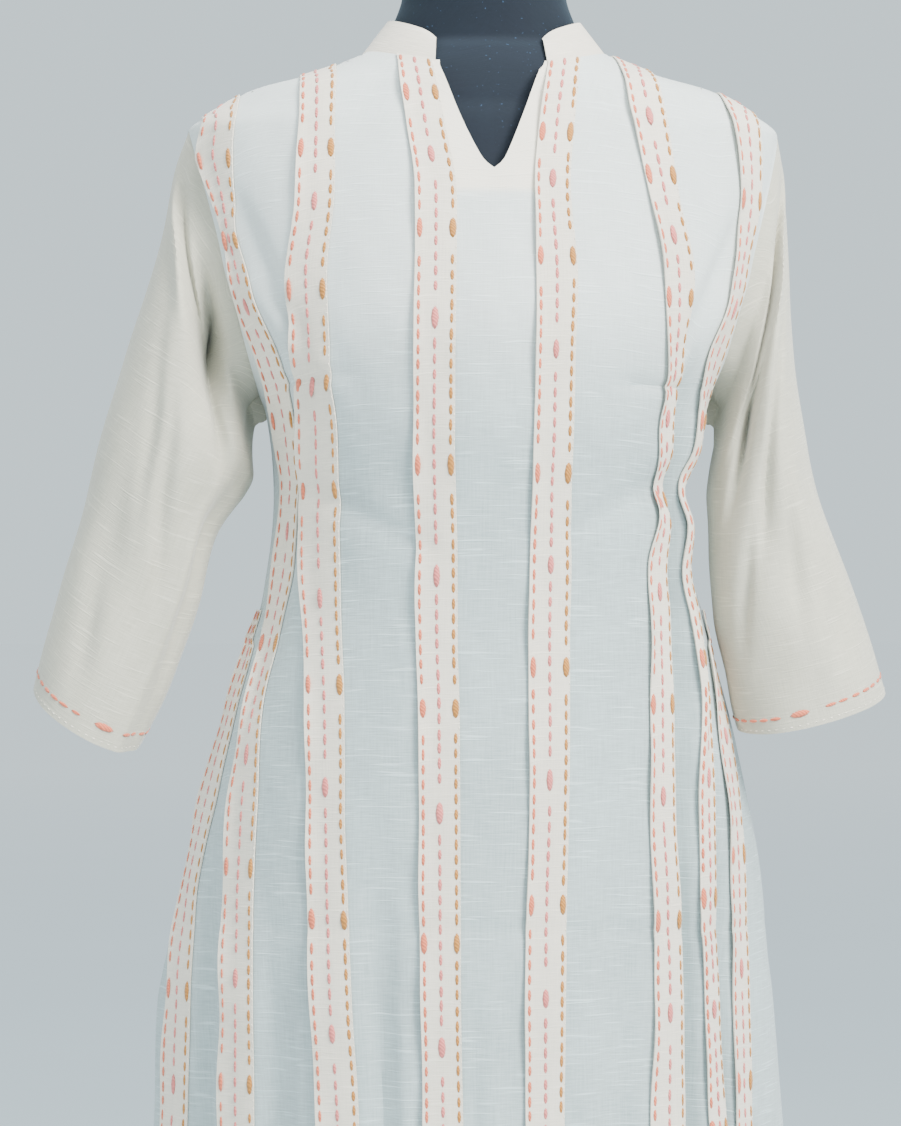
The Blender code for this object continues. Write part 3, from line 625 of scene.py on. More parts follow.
def front_half(sign):
    """One side of the front: the turn between two whole cloth lines is shared out evenly, and the point
    on the oval at that turn is moved out by the folds, creases and ripples there."""
    counts = line_counts()
    share, lower = grid_shares()
    ends = [abs(float(edge_across(sign * n, TABLE_TOP))) for n in range(1, SHOULDER_LINE + 1)]
    known = (0, 1, 2, NECK_LINE, 3, 4, 5, SHOULDER_LINE, SIDE_LINE)
    top_across = np.interp(counts, known, (NOTCH_HALF, *ends[:2], NECK_HALF, *ends[2:], SHOULDER_HALF))
    top = top_edge(top_across, (NOTCH_HALF, NECK_HALF), NECK_FRONT)[None, :]
    height = np.where(share < 1, top - (top - UNDERARM) * share, lower)
    nominal = np.where(share < 1, TABLE_TOP - (TABLE_TOP - UNDERARM) * share, lower) + 0 * top
    turns = np.stack([line_turn(sign, n, nominal, height) for n in range(SIDE_LINE + 1)])
    low = np.minimum(counts.astype(int), SIDE_LINE - 1)
    rows, columns = np.indices(height.shape)
    inner, outer = turns[low[None, :], rows, columns], turns[low[None, :] + 1, rows, columns]
    turn = inner + (outer - inner) * (counts - low)[None, :]
    upright = sign * np.arcsin(np.minimum(top_across / smooth(SECTIONS, height, 1), 1))
    turn = upright + (turn - upright) * soft_step(0, TOP_BLEND, share)
    turn = np.where(share == 0, sign * seam_turn(top_across, top), turn)
    points = oval_point(turn, height, -1)
    line = sign * counts[None, :] + 0 * height
    outward = np.stack([np.sin(turn), -np.cos(turn), 0 * turn], axis=-1)
    across = points[..., 0]
    depth = fold_depth(FOLDS, line, height) + fold_depth(FINE_FOLDS, line, height)
    depth += crease_depth(FRONT_CREASES, across, height)
    waves = ripple(across, height, CLOTH_WAVES) * soft_step(0, TOP_FADE, share)
    depth += waves * soft_step(0, FRONT_SIDE_FADE, SIDE_LINE - counts)
    return points + outward * depth[..., None]


def front_grid():
    """Both sides of the front, with the middle twice, so that the V can open between them."""
    grid = np.concatenate([front_half(-1)[:, ::-1], front_half(1)], axis=1)
    grid[..., 1] -= SEAM_SHOWN
    return grid


def back_grid():
    """The back on its own oval: columns at even turns that shrink to the armhole's below the shoulder."""
    turns = np.linspace(-np.pi / 2, np.pi / 2, BACK_STEPS + 1)[None, :]
    share, lower = grid_shares()
    across = np.sin(turns) * SHOULDER_HALF
    top = top_edge(across, (0, NECK_HALF), NECK_BACK)
    height = np.where(share < 1, top - (top - UNDERARM) * share, lower)
    top_turn = np.sign(turns) * seam_turn(across, top)
    edge = turns / (np.pi / 2) * side_turn(height)
    turn = top_turn + (edge - top_turn) * soft_step(0, BACK_SPREAD, share)
    points = oval_point(turn, height, 1)
    outward = np.stack([np.sin(turn), np.cos(turn), 0 * turn], axis=-1)
    line = turns / (np.pi / 2) * SIDE_LINE + 0 * height
    depth = fold_depth(BACK_FOLDS, line, height) + crease_depth(BACK_CREASES, points[..., 0], height)
    depth += ripple(points[..., 0], height, CLOTH_WAVES) * soft_step(0, TOP_FADE, share)
    depth *= soft_step(0, BACK_SIDE_FADE, SIDE_LINE - np.abs(line))
    points = points + outward * depth[..., None]
    points[..., 1] += SEAM_SHOWN
    return points[:, ::-1]


def sleeve_ring(name, share, turns):
    """A sleeve's oval at a share of its length: middle + cos(turn) times half its width + sin(turn) times
    its depth to the front."""
    outer_x, outer_z, inner_x, inner_z, middle_y, depth, dip = (
        smooth(SLEEVES[name], share, n) for n in range(1, 8))
    middle = np.stack([(outer_x + inner_x) / 2, middle_y, (outer_z + inner_z) / 2], axis=-1)
    half = np.stack([(outer_x - inner_x) / 2, 0 * share, (outer_z - inner_z) / 2], axis=-1)
    forward = np.stack([0 * share, -depth, -dip], axis=-1)
    return middle + np.cos(turns)[..., None] * half + np.sin(turns)[..., None] * forward, middle


def armhole_ring(name, turns):
    """The armhole's edge on the panels, its height a cosine between the shoulder point and the underarm."""
    sign = -1 if name.endswith("left") else 1
    middle = (SHOULDER_POINT + UNDERARM) / 2
    height = middle + (SHOULDER_POINT - UNDERARM) / 2 * np.cos(turns)
    turn = sign * side_turn(np.minimum(height, SHOULDER_POINT))
    turn = np.where(height > SHOULDER_POINT - SAME_POINT, sign * math.pi / 2, turn)
    ring = np.where((np.sin(turns) > 0)[..., None], oval_point(turn, height, -1), oval_point(turn, height, 1))
    ring[..., 0] += sign * SEAM_SHOWN
    return ring


def sleeve_grid(name):
    """Rings down the sleeve. What the armhole's edge differs from the first ring fades out along it, and
    each fold or crease moves points out by its depth times a bell along and a bell round the ring."""
    turns = np.linspace(0, 2 * np.pi, SLEEVE_STEPS + 1)[None, :]
    share = np.linspace(0, 1, SLEEVE_LENGTH_STEPS + 1)[:, None]
    ring, middle = sleeve_ring(name, share, turns)
    first, _ = sleeve_ring(name, 0 * share[:1], turns)
    ring = ring + (armhole_ring(name, turns) - first) * (1 - soft_step(0, ARMHOLE_FADE, share))[..., None]
    outward = ring - middle
    outward /= np.linalg.norm(outward, axis=-1, keepdims=True)
    depth = 0 * (share + turns)
    for at, along, turn, spread, slant, deep in SLEEVE_CREASES[name] + tuple(
            (*row[:4], 0, row[4]) for row in SLEEVE_FOLDS[name]):
        off = (np.degrees(turns) - turn - slant * (share - at) + 180) % 360 - 180
        depth = depth + deep * np.exp(-(((share - at) / along) ** 2) - (off / spread) ** 2)
    across, up = SLEEVE_GIRTH * np.cos(turns), SLEEVE_RUN * share + SLEEVE_DEPTH * np.sin(turns)
    depth = depth + ripple(across, up, SLEEVE_WAVES)
    grid = ring + outward * (depth * soft_step(0, SLEEVE_TOP_FADE, share))[..., None]
    tucked = grid[:1] - outward[:1] * SLEEVE_TUCK / 2
    tucked[..., 0] += SLEEVE_TUCK if name.endswith("left") else -SLEEVE_TUCK
    grid = np.concatenate([tucked, grid])
    grid[:, -1] = grid[:, 0]
    return grid if name.endswith("left") else grid[:, ::-1]


def collar_grid():
    """The collar's rows lean in with their height above the neckline, and its top drops at its two ends."""
    share = np.linspace(1, 0, COLLAR_HEIGHT_STEPS + 1)[:, None]
    lean = COLLAR_LEAN * share
    start = np.arcsin((COLLAR_END - COLLAR_END_LEAN * share) / (NECK_HALF - lean))
    turns = start + (2 * np.pi - 2 * start) * np.linspace(0, 1, COLLAR_STEPS + 1)[None, :]
    ends = np.minimum(turns - turns[:, :1], turns[:, -1:] - turns)
    front = np.cos(turns) > 0
    across = NECK_HALF * np.sin(turns)
    front_edge = top_edge(across, (NOTCH_HALF, NECK_HALF), NECK_FRONT)
    base = np.where(front, front_edge, top_edge(across, (0, NECK_HALF), NECK_BACK)) + SEAM_SHOWN
    depth = COLLAR_BACK + (COLLAR_FRONT - COLLAR_BACK) * soft_step(-COLLAR_TURN, COLLAR_TURN, np.cos(turns))
    rounding = COLLAR_ROUNDING * share ** 3 * np.exp(-ends / COLLAR_ROUND)
    height = base + (COLLAR_RISE + COLLAR_GAP) * share * (1 - rounding)
    points = np.stack([(NECK_HALF - lean) * np.sin(turns), -(depth - lean) * np.cos(turns), height], axis=-1)
    return points


def form_grid():
    """The form's ovals from its neck down to its foot, the same all round as the part's."""
    turns = np.linspace(0, 2 * np.pi, FORM_STEPS + 1)[None, :]
    heights = np.array([row[0] for row in FORM_SECTIONS])[::-1]
    heights = np.interp(np.linspace(0, 1, FORM_ROWS + 1), np.linspace(0, 1, len(heights)), heights)[:, None]
    front = oval_point(turns, heights, -1, FORM_SECTIONS)
    back = oval_point(turns, heights, 1, FORM_SECTIONS)
    grid = np.where((np.cos(turns) > 0)[..., None], front, back)
    grid[:, -1] = grid[:, 0]
    return grid


# Meshes from grids
def normals_of(grid):
    """Outward normal at each grid point: the step down the rows crossed with the step along them, summed
    over points that coincide. A point with no such step takes the way out from the piece's middle."""
    normal = np.cross(np.gradient(grid, axis=0), np.gradient(grid, axis=1))
    flat = grid.reshape(-1, 3)
    _, same = np.unique(flat, axis=0, return_inverse=True)
    same = same.reshape(-1)
    total = np.stack([np.bincount(same, normal[..., n].ravel()) for n in range(3)], axis=-1)[same]
    total = total + NO_STEP * (flat - flat.mean(axis=0))
    return (total / np.linalg.norm(total, axis=-1, keepdims=True)).reshape(grid.shape)


def lengths_along(grid):
    """Cloth measures in metres: across from the middle column, and down each column from the top row."""
    across = np.linalg.norm(np.diff(grid, axis=1), axis=-1).cumsum(axis=1)
    across = np.pad(across, ((0, 0), (1, 0)))
    across = across - across[:, grid.shape[1] // 2:grid.shape[1] // 2 + 1]
    down = np.linalg.norm(np.diff(grid, axis=0), axis=-1).cumsum(axis=0)
    down = np.pad(down, ((1, 0), (0, 0)))
    return np.stack([across, down[-1:, :] - down], axis=-1)


def new_object(name, points, faces, measures, material, attributes=()):
    """Makes the piece from arrays, with its cloth measures as a UV map, and lets it ride on the part."""
    mesh = bpy.data.meshes.new(name)
    mesh.from_pydata(points.tolist(), [], faces.tolist())
    if measures is not None:
        layer = mesh.uv_layers.new(name=CLOTH_MAP)
        layer.data.foreach_set("uv", measures.astype(np.float32).ravel())
    for title, values in attributes:
        mesh.attributes.new(title, "FLOAT", "POINT").data.foreach_set("value", values.astype(np.float32))
    mesh.shade_smooth()
    mesh.set_sharp_from_angle(angle=SHARP_EDGE)
    mesh.materials.append(material)
    piece = bpy.data.objects.new(name, mesh)
    bpy.context.scene.collection.objects.link(piece)
    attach(piece, "root")
    return piece


def cloth_piece(name, grid, wall, material, cut_column=None, attributes=()):
    """A closed wall: the grid's faces, the same faces turned round on points a wall further in along the
    normals, and one face on each open edge between them. A cut column leaves its faces out."""
    rows, columns = grid.shape[:2]
    flat = grid.reshape(-1, 3)
    points, first, same = np.unique(flat, axis=0, return_index=True, return_inverse=True)
    same = same.reshape(-1)
    index = np.arange(rows * columns).reshape(rows, columns)
    corners = [index[:-1, :-1], index[1:, :-1], index[1:, 1:], index[:-1, 1:]]
    raw = np.stack(corners, axis=-1)
    if cut_column is not None:
        raw = np.delete(raw, cut_column, axis=1)
    raw = raw.reshape(-1, 4)
    edges = np.concatenate([raw[:, [n, (n + 1) % 4]] for n in range(4)])
    there = same[edges[:, 0]] * len(points) + same[edges[:, 1]]
    back = same[edges[:, 1]] * len(points) + same[edges[:, 0]]
    start, end = edges[~np.isin(there, back)].T
    inner = points - normals_of(grid).reshape(-1, 3)[first] * wall
    count = len(points)
    rim = np.stack([same[end], same[start], same[start] + count, same[end] + count], axis=-1)
    faces = np.concatenate([same[raw], same[raw[:, ::-1]] + count, rim])
    measures = lengths_along(grid).reshape(-1, 2)
    loops = np.concatenate([raw, raw[:, ::-1], np.stack([end, start, start, end], axis=-1)])
    both = [(title, np.tile(values.ravel()[first], 2)) for title, values in attributes]
    return new_object(name, np.concatenate([points, inner]), faces, measures[loops], material, both)


# Stitches
def along_path(path, normals, starts):
    """Places on a line of points at these lengths along it: centre, direction and outward."""
    steps = np.linalg.norm(np.diff(path, axis=0), axis=1)
    length = np.concatenate([[0], np.cumsum(steps)])
    starts = starts[(starts > STITCH_MARGIN) & (starts < length[-1] - STITCH_MARGIN)]
    centre = np.stack([np.interp(starts, length, path[:, n]) for n in range(3)], axis=-1)
    ahead = np.stack([np.interp(starts + PATH_STEP, length, path[:, n]) for n in range(3)], axis=-1)
    before = np.stack([np.interp(starts - PATH_STEP, length, path[:, n]) for n in range(3)], axis=-1)
    outward = np.stack([np.interp(starts, length, normals[:, n]) for n in range(3)], axis=-1)
    direction = ahead - before
    direction /= np.linalg.norm(direction, axis=1, keepdims=True)
    return centre, direction, outward / np.linalg.norm(outward, axis=1, keepdims=True)


def stitches(centre, direction, outward, length, width, height):
    """Arrays of one closed stitch at each place: rings of six points whose radius is the rest of 1 that
    the squared share of its half length leaves, to the power STITCH_BULGE, with a pole at each end in
    the cloth."""
    shares = np.array([-STITCH_RING, 0.0, STITCH_RING])
    turns = np.arange(STITCH_SIDES) * 2 * np.pi / STITCH_SIDES
    radius = (1 - shares ** 2) ** STITCH_BULGE
    across = np.cross(outward, direction)
    length, width, height = (
        np.broadcast_to(size, len(centre))[:, None, None, None] for size in (length, width, height))
    ring = radius[:, None] * np.cos(turns), radius[:, None] * (np.sin(turns) + STITCH_SEAT)
    along = np.repeat(shares, STITCH_SIDES).reshape(len(shares), STITCH_SIDES)
    rings = (centre[:, None, None]
             + direction[:, None, None] * along[None, ..., None] * length / 2
             + across[:, None, None] * ring[0][None, ..., None] * width / 2
             + outward[:, None, None] * ring[1][None, ..., None] * height / 2)
    poles = centre[:, None] + direction[:, None] * np.array([-0.5, 0.5])[None, :, None] * length[:, :, 0]
    poles = poles - outward[:, None] * height[:, :, 0] * STITCH_SINK
    each = len(shares) * STITCH_SIDES
    points = np.concatenate([rings.reshape(len(centre), each, 3), poles], axis=1)
    grid = np.arange(each).reshape(len(shares), STITCH_SIDES)
    turned = np.roll(grid, -1, axis=1)
    sides = np.stack([grid[:-1], turned[:-1], turned[1:], grid[1:]], axis=-1).reshape(-1, 4)
    first = np.stack([grid[0], np.full(STITCH_SIDES, each), turned[0]], axis=-1)
    last = np.stack([grid[-1], turned[-1], np.full(STITCH_SIDES, each + 1)], axis=-1)
    shift = (np.arange(len(centre)) * (each + 2))[:, None, None]
    quads = (sides[None] + shift).reshape(-1, 4)
    threes = (np.concatenate([first, last])[None] + shift).reshape(-1, 3)
    return points.reshape(-1, 3), quads, threes


def stitch_piece(name, rows, material):
    """Joins the stitches of several rows of sewing into one piece."""
    centre, direction, outward, length, width, height = (np.concatenate(part) for part in zip(*rows))
    points, quads, threes = stitches(centre, direction, outward, length, width, height)
    mesh = bpy.data.meshes.new(name)
    mesh.from_pydata(points.tolist(), [], quads.tolist() + threes.tolist())
    mesh.shade_smooth()
    mesh.materials.append(material)
    piece = bpy.data.objects.new(name, mesh)
    bpy.context.scene.collection.objects.link(piece)
    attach(piece, "root")
    return piece


# Materials
def socket(group, way, name, kind, value=None):
    made = group.interface.new_socket(name, in_out=way, socket_type=kind)
    if value is not None:
        made.default_value = value


def node(tree, kind, inputs=None, **settings):
    """A node with its settings, and its inputs given as values or as other nodes' outputs."""
    made = tree.nodes.new(kind)
    for name, value in settings.items():
        setattr(made, name, value)
    for name, value in (inputs or {}).items():
        if isinstance(value, bpy.types.NodeSocket):
            tree.links.new(value, made.inputs[name])
        else:
            made.inputs[name].default_value = value
    return made


def maths(tree, operation, first, second=0.0):
    return node(tree, "ShaderNodeMath", {0: first, 1: second}, operation=operation).outputs[0]


def weighed(tree, first, first_share, second, second_share):
    """The sum of two values, each times its own share."""
    return maths(tree, "ADD", maths(tree, "MULTIPLY", first, first_share),
                 maths(tree, "MULTIPLY", second, second_share))


def mixed(tree, share, first, second):
    """A colour mix; its sockets 6 and 7 are the two colours and its output 2 is the mixed one."""
    made = node(tree, "ShaderNodeMix", {0: share, 6: first, 7: second}, data_type="RGBA")
    return made.outputs[2]


def stretched_noise(tree, vector, scale, detail, roughness):
    """Noise on coordinates that are multiplied by so many cycles per metre each way."""
    mapping = node(tree, "ShaderNodeMapping", {"Vector": vector, "Scale": scale})
    made = node(tree, "ShaderNodeTexNoise", {
        "Vector": mapping.outputs[0], "Scale": 1.0, "Detail": detail, "Roughness": roughness})
    return made.outputs["Fac"]


def slub_weave():
    """Plain weave with slubs: fine threads both ways, and sparse thick ones that run across the cloth."""
    group = bpy.data.node_groups.get("slub weave")
    if group is not None:
        return group
    group = bpy.data.node_groups.new("slub weave", "ShaderNodeTree")
    socket(group, "INPUT", "Vector", "NodeSocketVector")
    socket(group, "INPUT", "Slub Amount", "NodeSocketFloat", 1.0)
    socket(group, "OUTPUT", "Tone", "NodeSocketFloat")
    socket(group, "OUTPUT", "Height", "NodeSocketFloat")
    start, end = group.nodes.new("NodeGroupInput"), group.nodes.new("NodeGroupOutput")
    vector, amount = start.outputs["Vector"], start.outputs["Slub Amount"]
    weft = stretched_noise(group, vector, (70, 1100, 1), 2.0, 0.6)
    warp = stretched_noise(group, vector, (900, 45, 1), 2.0, 0.5)
    slubs = stretched_noise(group, vector, (26, 520, 1), 1.0, 0.5)
    clouds = stretched_noise(group, vector, (14, 9, 1), 2.0, 0.5)
    thick = node(group, "ShaderNodeMapRange", {
        "Value": slubs, "From Min": 0.60, "From Max": 0.72, "To Min": 0.0, "To Max": 1.0},
        interpolation_type="SMOOTHSTEP").outputs[0]
    thick = maths(group, "MULTIPLY", thick, amount)
    threads = weighed(group, weft, 0.62, warp, 0.38)
    tone = weighed(group, threads, 0.72, clouds, 0.28)
    tone = maths(group, "ADD", tone, maths(group, "MULTIPLY", thick, 0.34))
    height = maths(group, "ADD", threads, maths(group, "MULTIPLY", thick, 0.4))
    group.links.new(tone, end.inputs["Tone"])
    group.links.new(height, end.inputs["Height"])
    return group


def thread_twist():
    """Stranded thread: fine ridges that run slantwise round it, as a sine of its three coordinates."""
    group = bpy.data.node_groups.get("thread twist")
    if group is not None:
        return group
    group = bpy.data.node_groups.new("thread twist", "ShaderNodeTree")
    socket(group, "INPUT", "Vector", "NodeSocketVector")
    socket(group, "OUTPUT", "Tone", "NodeSocketFloat")
    socket(group, "OUTPUT", "Height", "NodeSocketFloat")
    start, end = group.nodes.new("NodeGroupInput"), group.nodes.new("NodeGroupOutput")
    strands = node(group, "ShaderNodeTexWave", {
        "Vector": start.outputs["Vector"], "Scale": 260.0, "Distortion": 1.2, "Detail": 1.0},
        bands_direction="DIAGONAL").outputs["Fac"]
    patches = stretched_noise(group, start.outputs["Vector"], (60, 60, 60), 2.0, 0.5)
    tone = weighed(group, strands, 0.45, patches, 0.55)
    group.links.new(tone, end.inputs["Tone"])
    group.links.new(strands, end.inputs["Height"])
    return group


def bare_material(name, roughness, sheen, sheen_colour=(1, 1, 1, 1)):
    """A new material with its Principled shader, whose even values are set on its own sockets."""
    material = bpy.data.materials.new(name)
    material.use_nodes = True
    shader = material.node_tree.nodes["Principled BSDF"]
    shader.inputs["Roughness"].default_value = roughness
    shader.inputs["Sheen Weight"].default_value = sheen
    shader.inputs["Sheen Roughness"].default_value = 0.5
    shader.inputs["Sheen Tint"].default_value = sheen_colour
    shader.inputs["Specular IOR Level"].default_value = 0.25
    return material, material.node_tree, shader


def in_group(tree, group, **inputs):
    made = tree.nodes.new("ShaderNodeGroup")
    made.node_tree = group
    for name, value in inputs.items():
        name = name.replace("_", " ").title()
        if isinstance(value, bpy.types.NodeSocket):
            tree.links.new(value, made.inputs[name])
        else:
            made.inputs[name].default_value = value
    return made.outputs


def bump(tree, shader, height, distance, strength=1.0):
    made = node(tree, "ShaderNodeBump", {"Height": height, "Distance": distance, "Strength": strength})
    tree.links.new(made.outputs[0], shader.inputs["Normal"])


def shaded(colour, factor):
    """A colour multiplied by a factor, as a socket's value."""
    return (*(min(c * factor, 1.0) for c in colour[:3]), 1.0)


def cotton(name, colour, slubs, contrast, depth):
    """Slub cotton: its colour from a darker to a lighter tone by the weave, and its threads as bump."""
    material = bpy.data.materials.get(name)
    if material is not None:
        return material
    material, tree, shader = bare_material(name, 0.88, 0.25)
    measures = node(tree, "ShaderNodeUVMap", uv_map=CLOTH_MAP).outputs[0]
    weave = in_group(tree, slub_weave(), vector=measures, slub_amount=slubs)
    tone = node(tree, "ShaderNodeMapRange", {
        "Value": weave["Tone"], "From Min": 0.30, "From Max": 0.75}).outputs[0]
    base = mixed(tree, tone, shaded(colour, 1 - contrast), shaded(colour, 1 + contrast))
    tree.links.new(base, shader.inputs["Base Color"])
    bump(tree, shader, weave["Height"], depth)
    return material


def sage_cotton(name, colour, facing_colour, facing=True):
    """The body's cotton, with painted light that makes it lighter towards the top, as if lit from above, and
    warmer where the facing shows through beside the V.
    """
    material = cotton(name, colour, 1.0, 0.26, 0.00035)
    tree = material.node_tree
    shader = tree.nodes["Principled BSDF"]
    base = shader.inputs["Base Color"].links[0].from_socket
    place = node(tree, "ShaderNodeTexCoord").outputs["Object"]
    height = node(tree, "ShaderNodeSeparateXYZ", {0: place}).outputs["Z"]
    # Painted light: from 1.12 m to 1.26 m up, the colour is mixed towards a near white, strongly in front and
    # a little behind, standing in for light falling from above.
    painted_top_light = node(tree, "ShaderNodeMapRange", {"Value": height, "From Min": 1.12, "From Max": 1.26},
                 interpolation_type="SMOOTHSTEP").outputs[0]
    base = mixed(tree, painted_top_light, base, mixed(tree, 0.45 if facing else 0.15, base, (0.80, 0.82, 0.78, 1)))
    if facing:
        shown = node(tree, "ShaderNodeAttribute", attribute_name=FACING_MASK).outputs["Fac"]
        base = mixed(tree, maths(tree, "MULTIPLY", shown, 0.85), base, facing_colour)
    tree.links.new(base, shader.inputs["Base Color"])
    return material


def thread(name, colour):
    """Stranded embroidery thread, a little uneven in tone."""
    material, tree, shader = bare_material(name, 0.62, 0.35)
    place = node(tree, "ShaderNodeTexCoord").outputs["Object"]
    twist = in_group(tree, thread_twist(), vector=place)
    base = mixed(tree, twist["Tone"], shaded(colour, 0.74), shaded(colour, 1.22))
    tree.links.new(base, shader.inputs["Base Color"])
    bump(tree, shader, twist["Height"], 0.0002)
    return material


def jersey(name, colour):
    """Fine stretch jersey: a soft nap in patches, with sparse light specks of lint on it."""
    material, tree, shader = bare_material(name, 0.85, 0.12, (0.45, 0.65, 0.8, 1))
    measures = node(tree, "ShaderNodeUVMap", uv_map=CLOTH_MAP).outputs[0]
    nap = stretched_noise(tree, measures, (240, 300, 1), 3.0, 0.6)
    clouds = stretched_noise(tree, measures, (9, 6, 1), 2.0, 0.5)
    tone = maths(tree, "ADD", maths(tree, "MULTIPLY", nap, 0.6), maths(tree, "MULTIPLY", clouds, 0.4))
    base = mixed(tree, tone, shaded(colour, 0.7), shaded(colour, 1.5))
    place = node(tree, "ShaderNodeTexCoord").outputs["Object"]
    specks = stretched_noise(tree, place, (620, 620, 620), 0.0, 0.5)
    lint = node(tree, "ShaderNodeMapRange", {"Value": specks, "From Min": 0.79, "From Max": 0.88}).outputs[0]
    base = mixed(tree, lint, base, shaded(colour, 9))
    tree.links.new(base, shader.inputs["Base Color"])
    bump(tree, shader, nap, 0.0001)
    return material


def painted_metal(name, colour):
    """Powder-coated steel: an orange-peel bump, with its paint worn and dusty by soft patches."""
    material, tree, shader = bare_material(name, 0.42, 0.0)
    shader.inputs["Specular IOR Level"].default_value = 0.5
    shader.inputs["Metallic"].default_value = 0.0
    place = node(tree, "ShaderNodeTexCoord").outputs["Object"]
    dust = stretched_noise(tree, place, (9, 9, 9), 4.0, 0.6)
    grain = stretched_noise(tree, place, (900, 900, 900), 2.0, 0.5)
    base = mixed(tree, dust, shaded(colour, 0.8), shaded(colour, 1.7))
    tree.links.new(base, shader.inputs["Base Color"])
    rough = node(tree, "ShaderNodeMapRange", {"Value": dust, "To Min": 0.32, "To Max": 0.55}).outputs[0]
    tree.links.new(rough, shader.inputs["Roughness"])
    bump(tree, shader, grain, 0.00012)
    return material


def plain_floor(name, colour):
    """A matt pale floor with the faintest unevenness, turning near white far off as painted light, where the
    lamps hardly light it.
    """
    material, tree, shader = bare_material(name, 0.9, 0.0)
    place = node(tree, "ShaderNodeTexCoord").outputs["Object"]
    clouds = stretched_noise(tree, place, (1.2, 1.2, 1), 2.0, 0.5)
    near = mixed(tree, clouds, shaded(colour, 0.97), shaded(colour, 1.03))
    # Painted light: from 3.5 m to 16 m out the floor is mixed towards near white, brightening the far floor
    # that the lamps hardly light.
    away = node(tree, "ShaderNodeVectorMath", {0: place}, operation="LENGTH").outputs["Value"]
    painted_far_light = node(tree, "ShaderNodeMapRange", {"Value": away, "From Min": 3.5, "From Max": 16.0}).outputs[0]
    base = mixed(tree, painted_far_light, near, (0.98, 0.98, 0.98, 1))
    tree.links.new(base, shader.inputs["Base Color"])
    return material


# Settings
class KurtaSettings(bpy.types.PropertyGroup):
    """Sizes and colours of the garment that a user would change."""

    wall: FloatProperty(name="Cloth thickness", description="Wall of the panels and sleeves",
                        default=0.0010, min=0.0004, max=0.003, unit="LENGTH", precision=4)
    band_wall: FloatProperty(name="Band thickness", description="Wall of the bands and the collar",
                             default=0.0008, min=0.0004, max=0.003, unit="LENGTH", precision=4)
    stitch_pitch: FloatProperty(name="Stitch pitch", description="From one running stitch to the next",
                                default=0.0092, min=0.004, max=0.03, unit="LENGTH", precision=4)
    stitch_length: FloatProperty(name="Stitch length", description="Length of a running stitch",
                                 default=0.0080, min=0.001, max=0.02, unit="LENGTH", precision=4)
    stitch_width: FloatProperty(name="Stitch width", description="Width of a running stitch",
                                default=0.0024, min=0.0005, max=0.006, unit="LENGTH", precision=4)
    long_length: FloatProperty(name="Long stitch length", description="Length of the broad stitches",
                               default=0.0148, min=0.002, max=0.03, unit="LENGTH", precision=4)
    long_width: FloatProperty(name="Long stitch width", description="Width of the broad stitches",
                              default=0.0046, min=0.001, max=0.01, unit="LENGTH", precision=4)
    seed: IntProperty(name="Hand sewing seed", description="Which small unevenness the stitches have",
                      default=7, min=0)
    sage: FloatVectorProperty(name="Sage", description="Body cloth", default=(0.37, 0.445, 0.445),
                              min=0, max=1, size=3, subtype="COLOR")
    cream: FloatVectorProperty(name="Cream", description="Bands, collar and sleeves",
                               default=(0.67, 0.62, 0.52), min=0, max=1, size=3, subtype="COLOR")
    sleeve: FloatVectorProperty(name="Sleeve cream", description="Sleeves", default=(0.455, 0.44, 0.355),
                                min=0, max=1, size=3, subtype="COLOR")
    coral: FloatVectorProperty(name="Coral", description="Left row of each band", default=(0.62, 0.15, 0.075),
                               min=0, max=1, size=3, subtype="COLOR")
    pink: FloatVectorProperty(name="Pink", description="Middle row of each band", default=(0.60, 0.17, 0.15),
                              min=0, max=1, size=3, subtype="COLOR")
    ochre: FloatVectorProperty(name="Ochre", description="Right row of each band",
                               default=(0.42, 0.175, 0.03), min=0, max=1, size=3, subtype="COLOR")
    black: FloatVectorProperty(name="Black", description="The form's jersey", default=(0.0028, 0.006, 0.0115),
                               min=0, max=1, size=3, subtype="COLOR")
    metal: FloatVectorProperty(name="Stand", description="Paint of the pole and the base",
                               default=(0.012, 0.012, 0.014), min=0, max=1, size=3, subtype="COLOR")


class StageSettings(bpy.types.PropertyGroup):
    """The floor and the light around the form."""

    floor: FloatVectorProperty(name="Floor", description="Floor's colour", default=(0.74, 0.82, 0.86),
                               min=0, max=1, size=3, subtype="COLOR")
    key: FloatProperty(name="Main light", description="Power of the large light in front", default=230,
                       min=0, unit="POWER")
    fill: FloatProperty(name="Side light", description="Power of the light from the left", default=36,
                        min=0, unit="POWER")
    top: FloatProperty(name="Top light", description="Power of the light overhead", default=60,
                       min=0, unit="POWER")
    sky: FloatProperty(name="Surroundings", description="Strength of the even light all round", default=1.0,
                       min=0)


def sage_material(settings, facing):
    name = "sage_cotton_front" if facing else "sage_cotton_back"
    return bpy.data.materials.get(name) or sage_cotton(
        name, settings.sage, shaded(settings.cream, 1.18), facing)


def cream_material(settings):
    return cotton("band_cotton", settings.cream, 0.55, 0.12, 0.0004)


def front_surface():
    """The front's grid with its normals and each column's signed cloth line."""
    grid = front_grid()
    counts = line_counts()
    return grid, normals_of(grid), np.concatenate([-counts[::-1], counts])


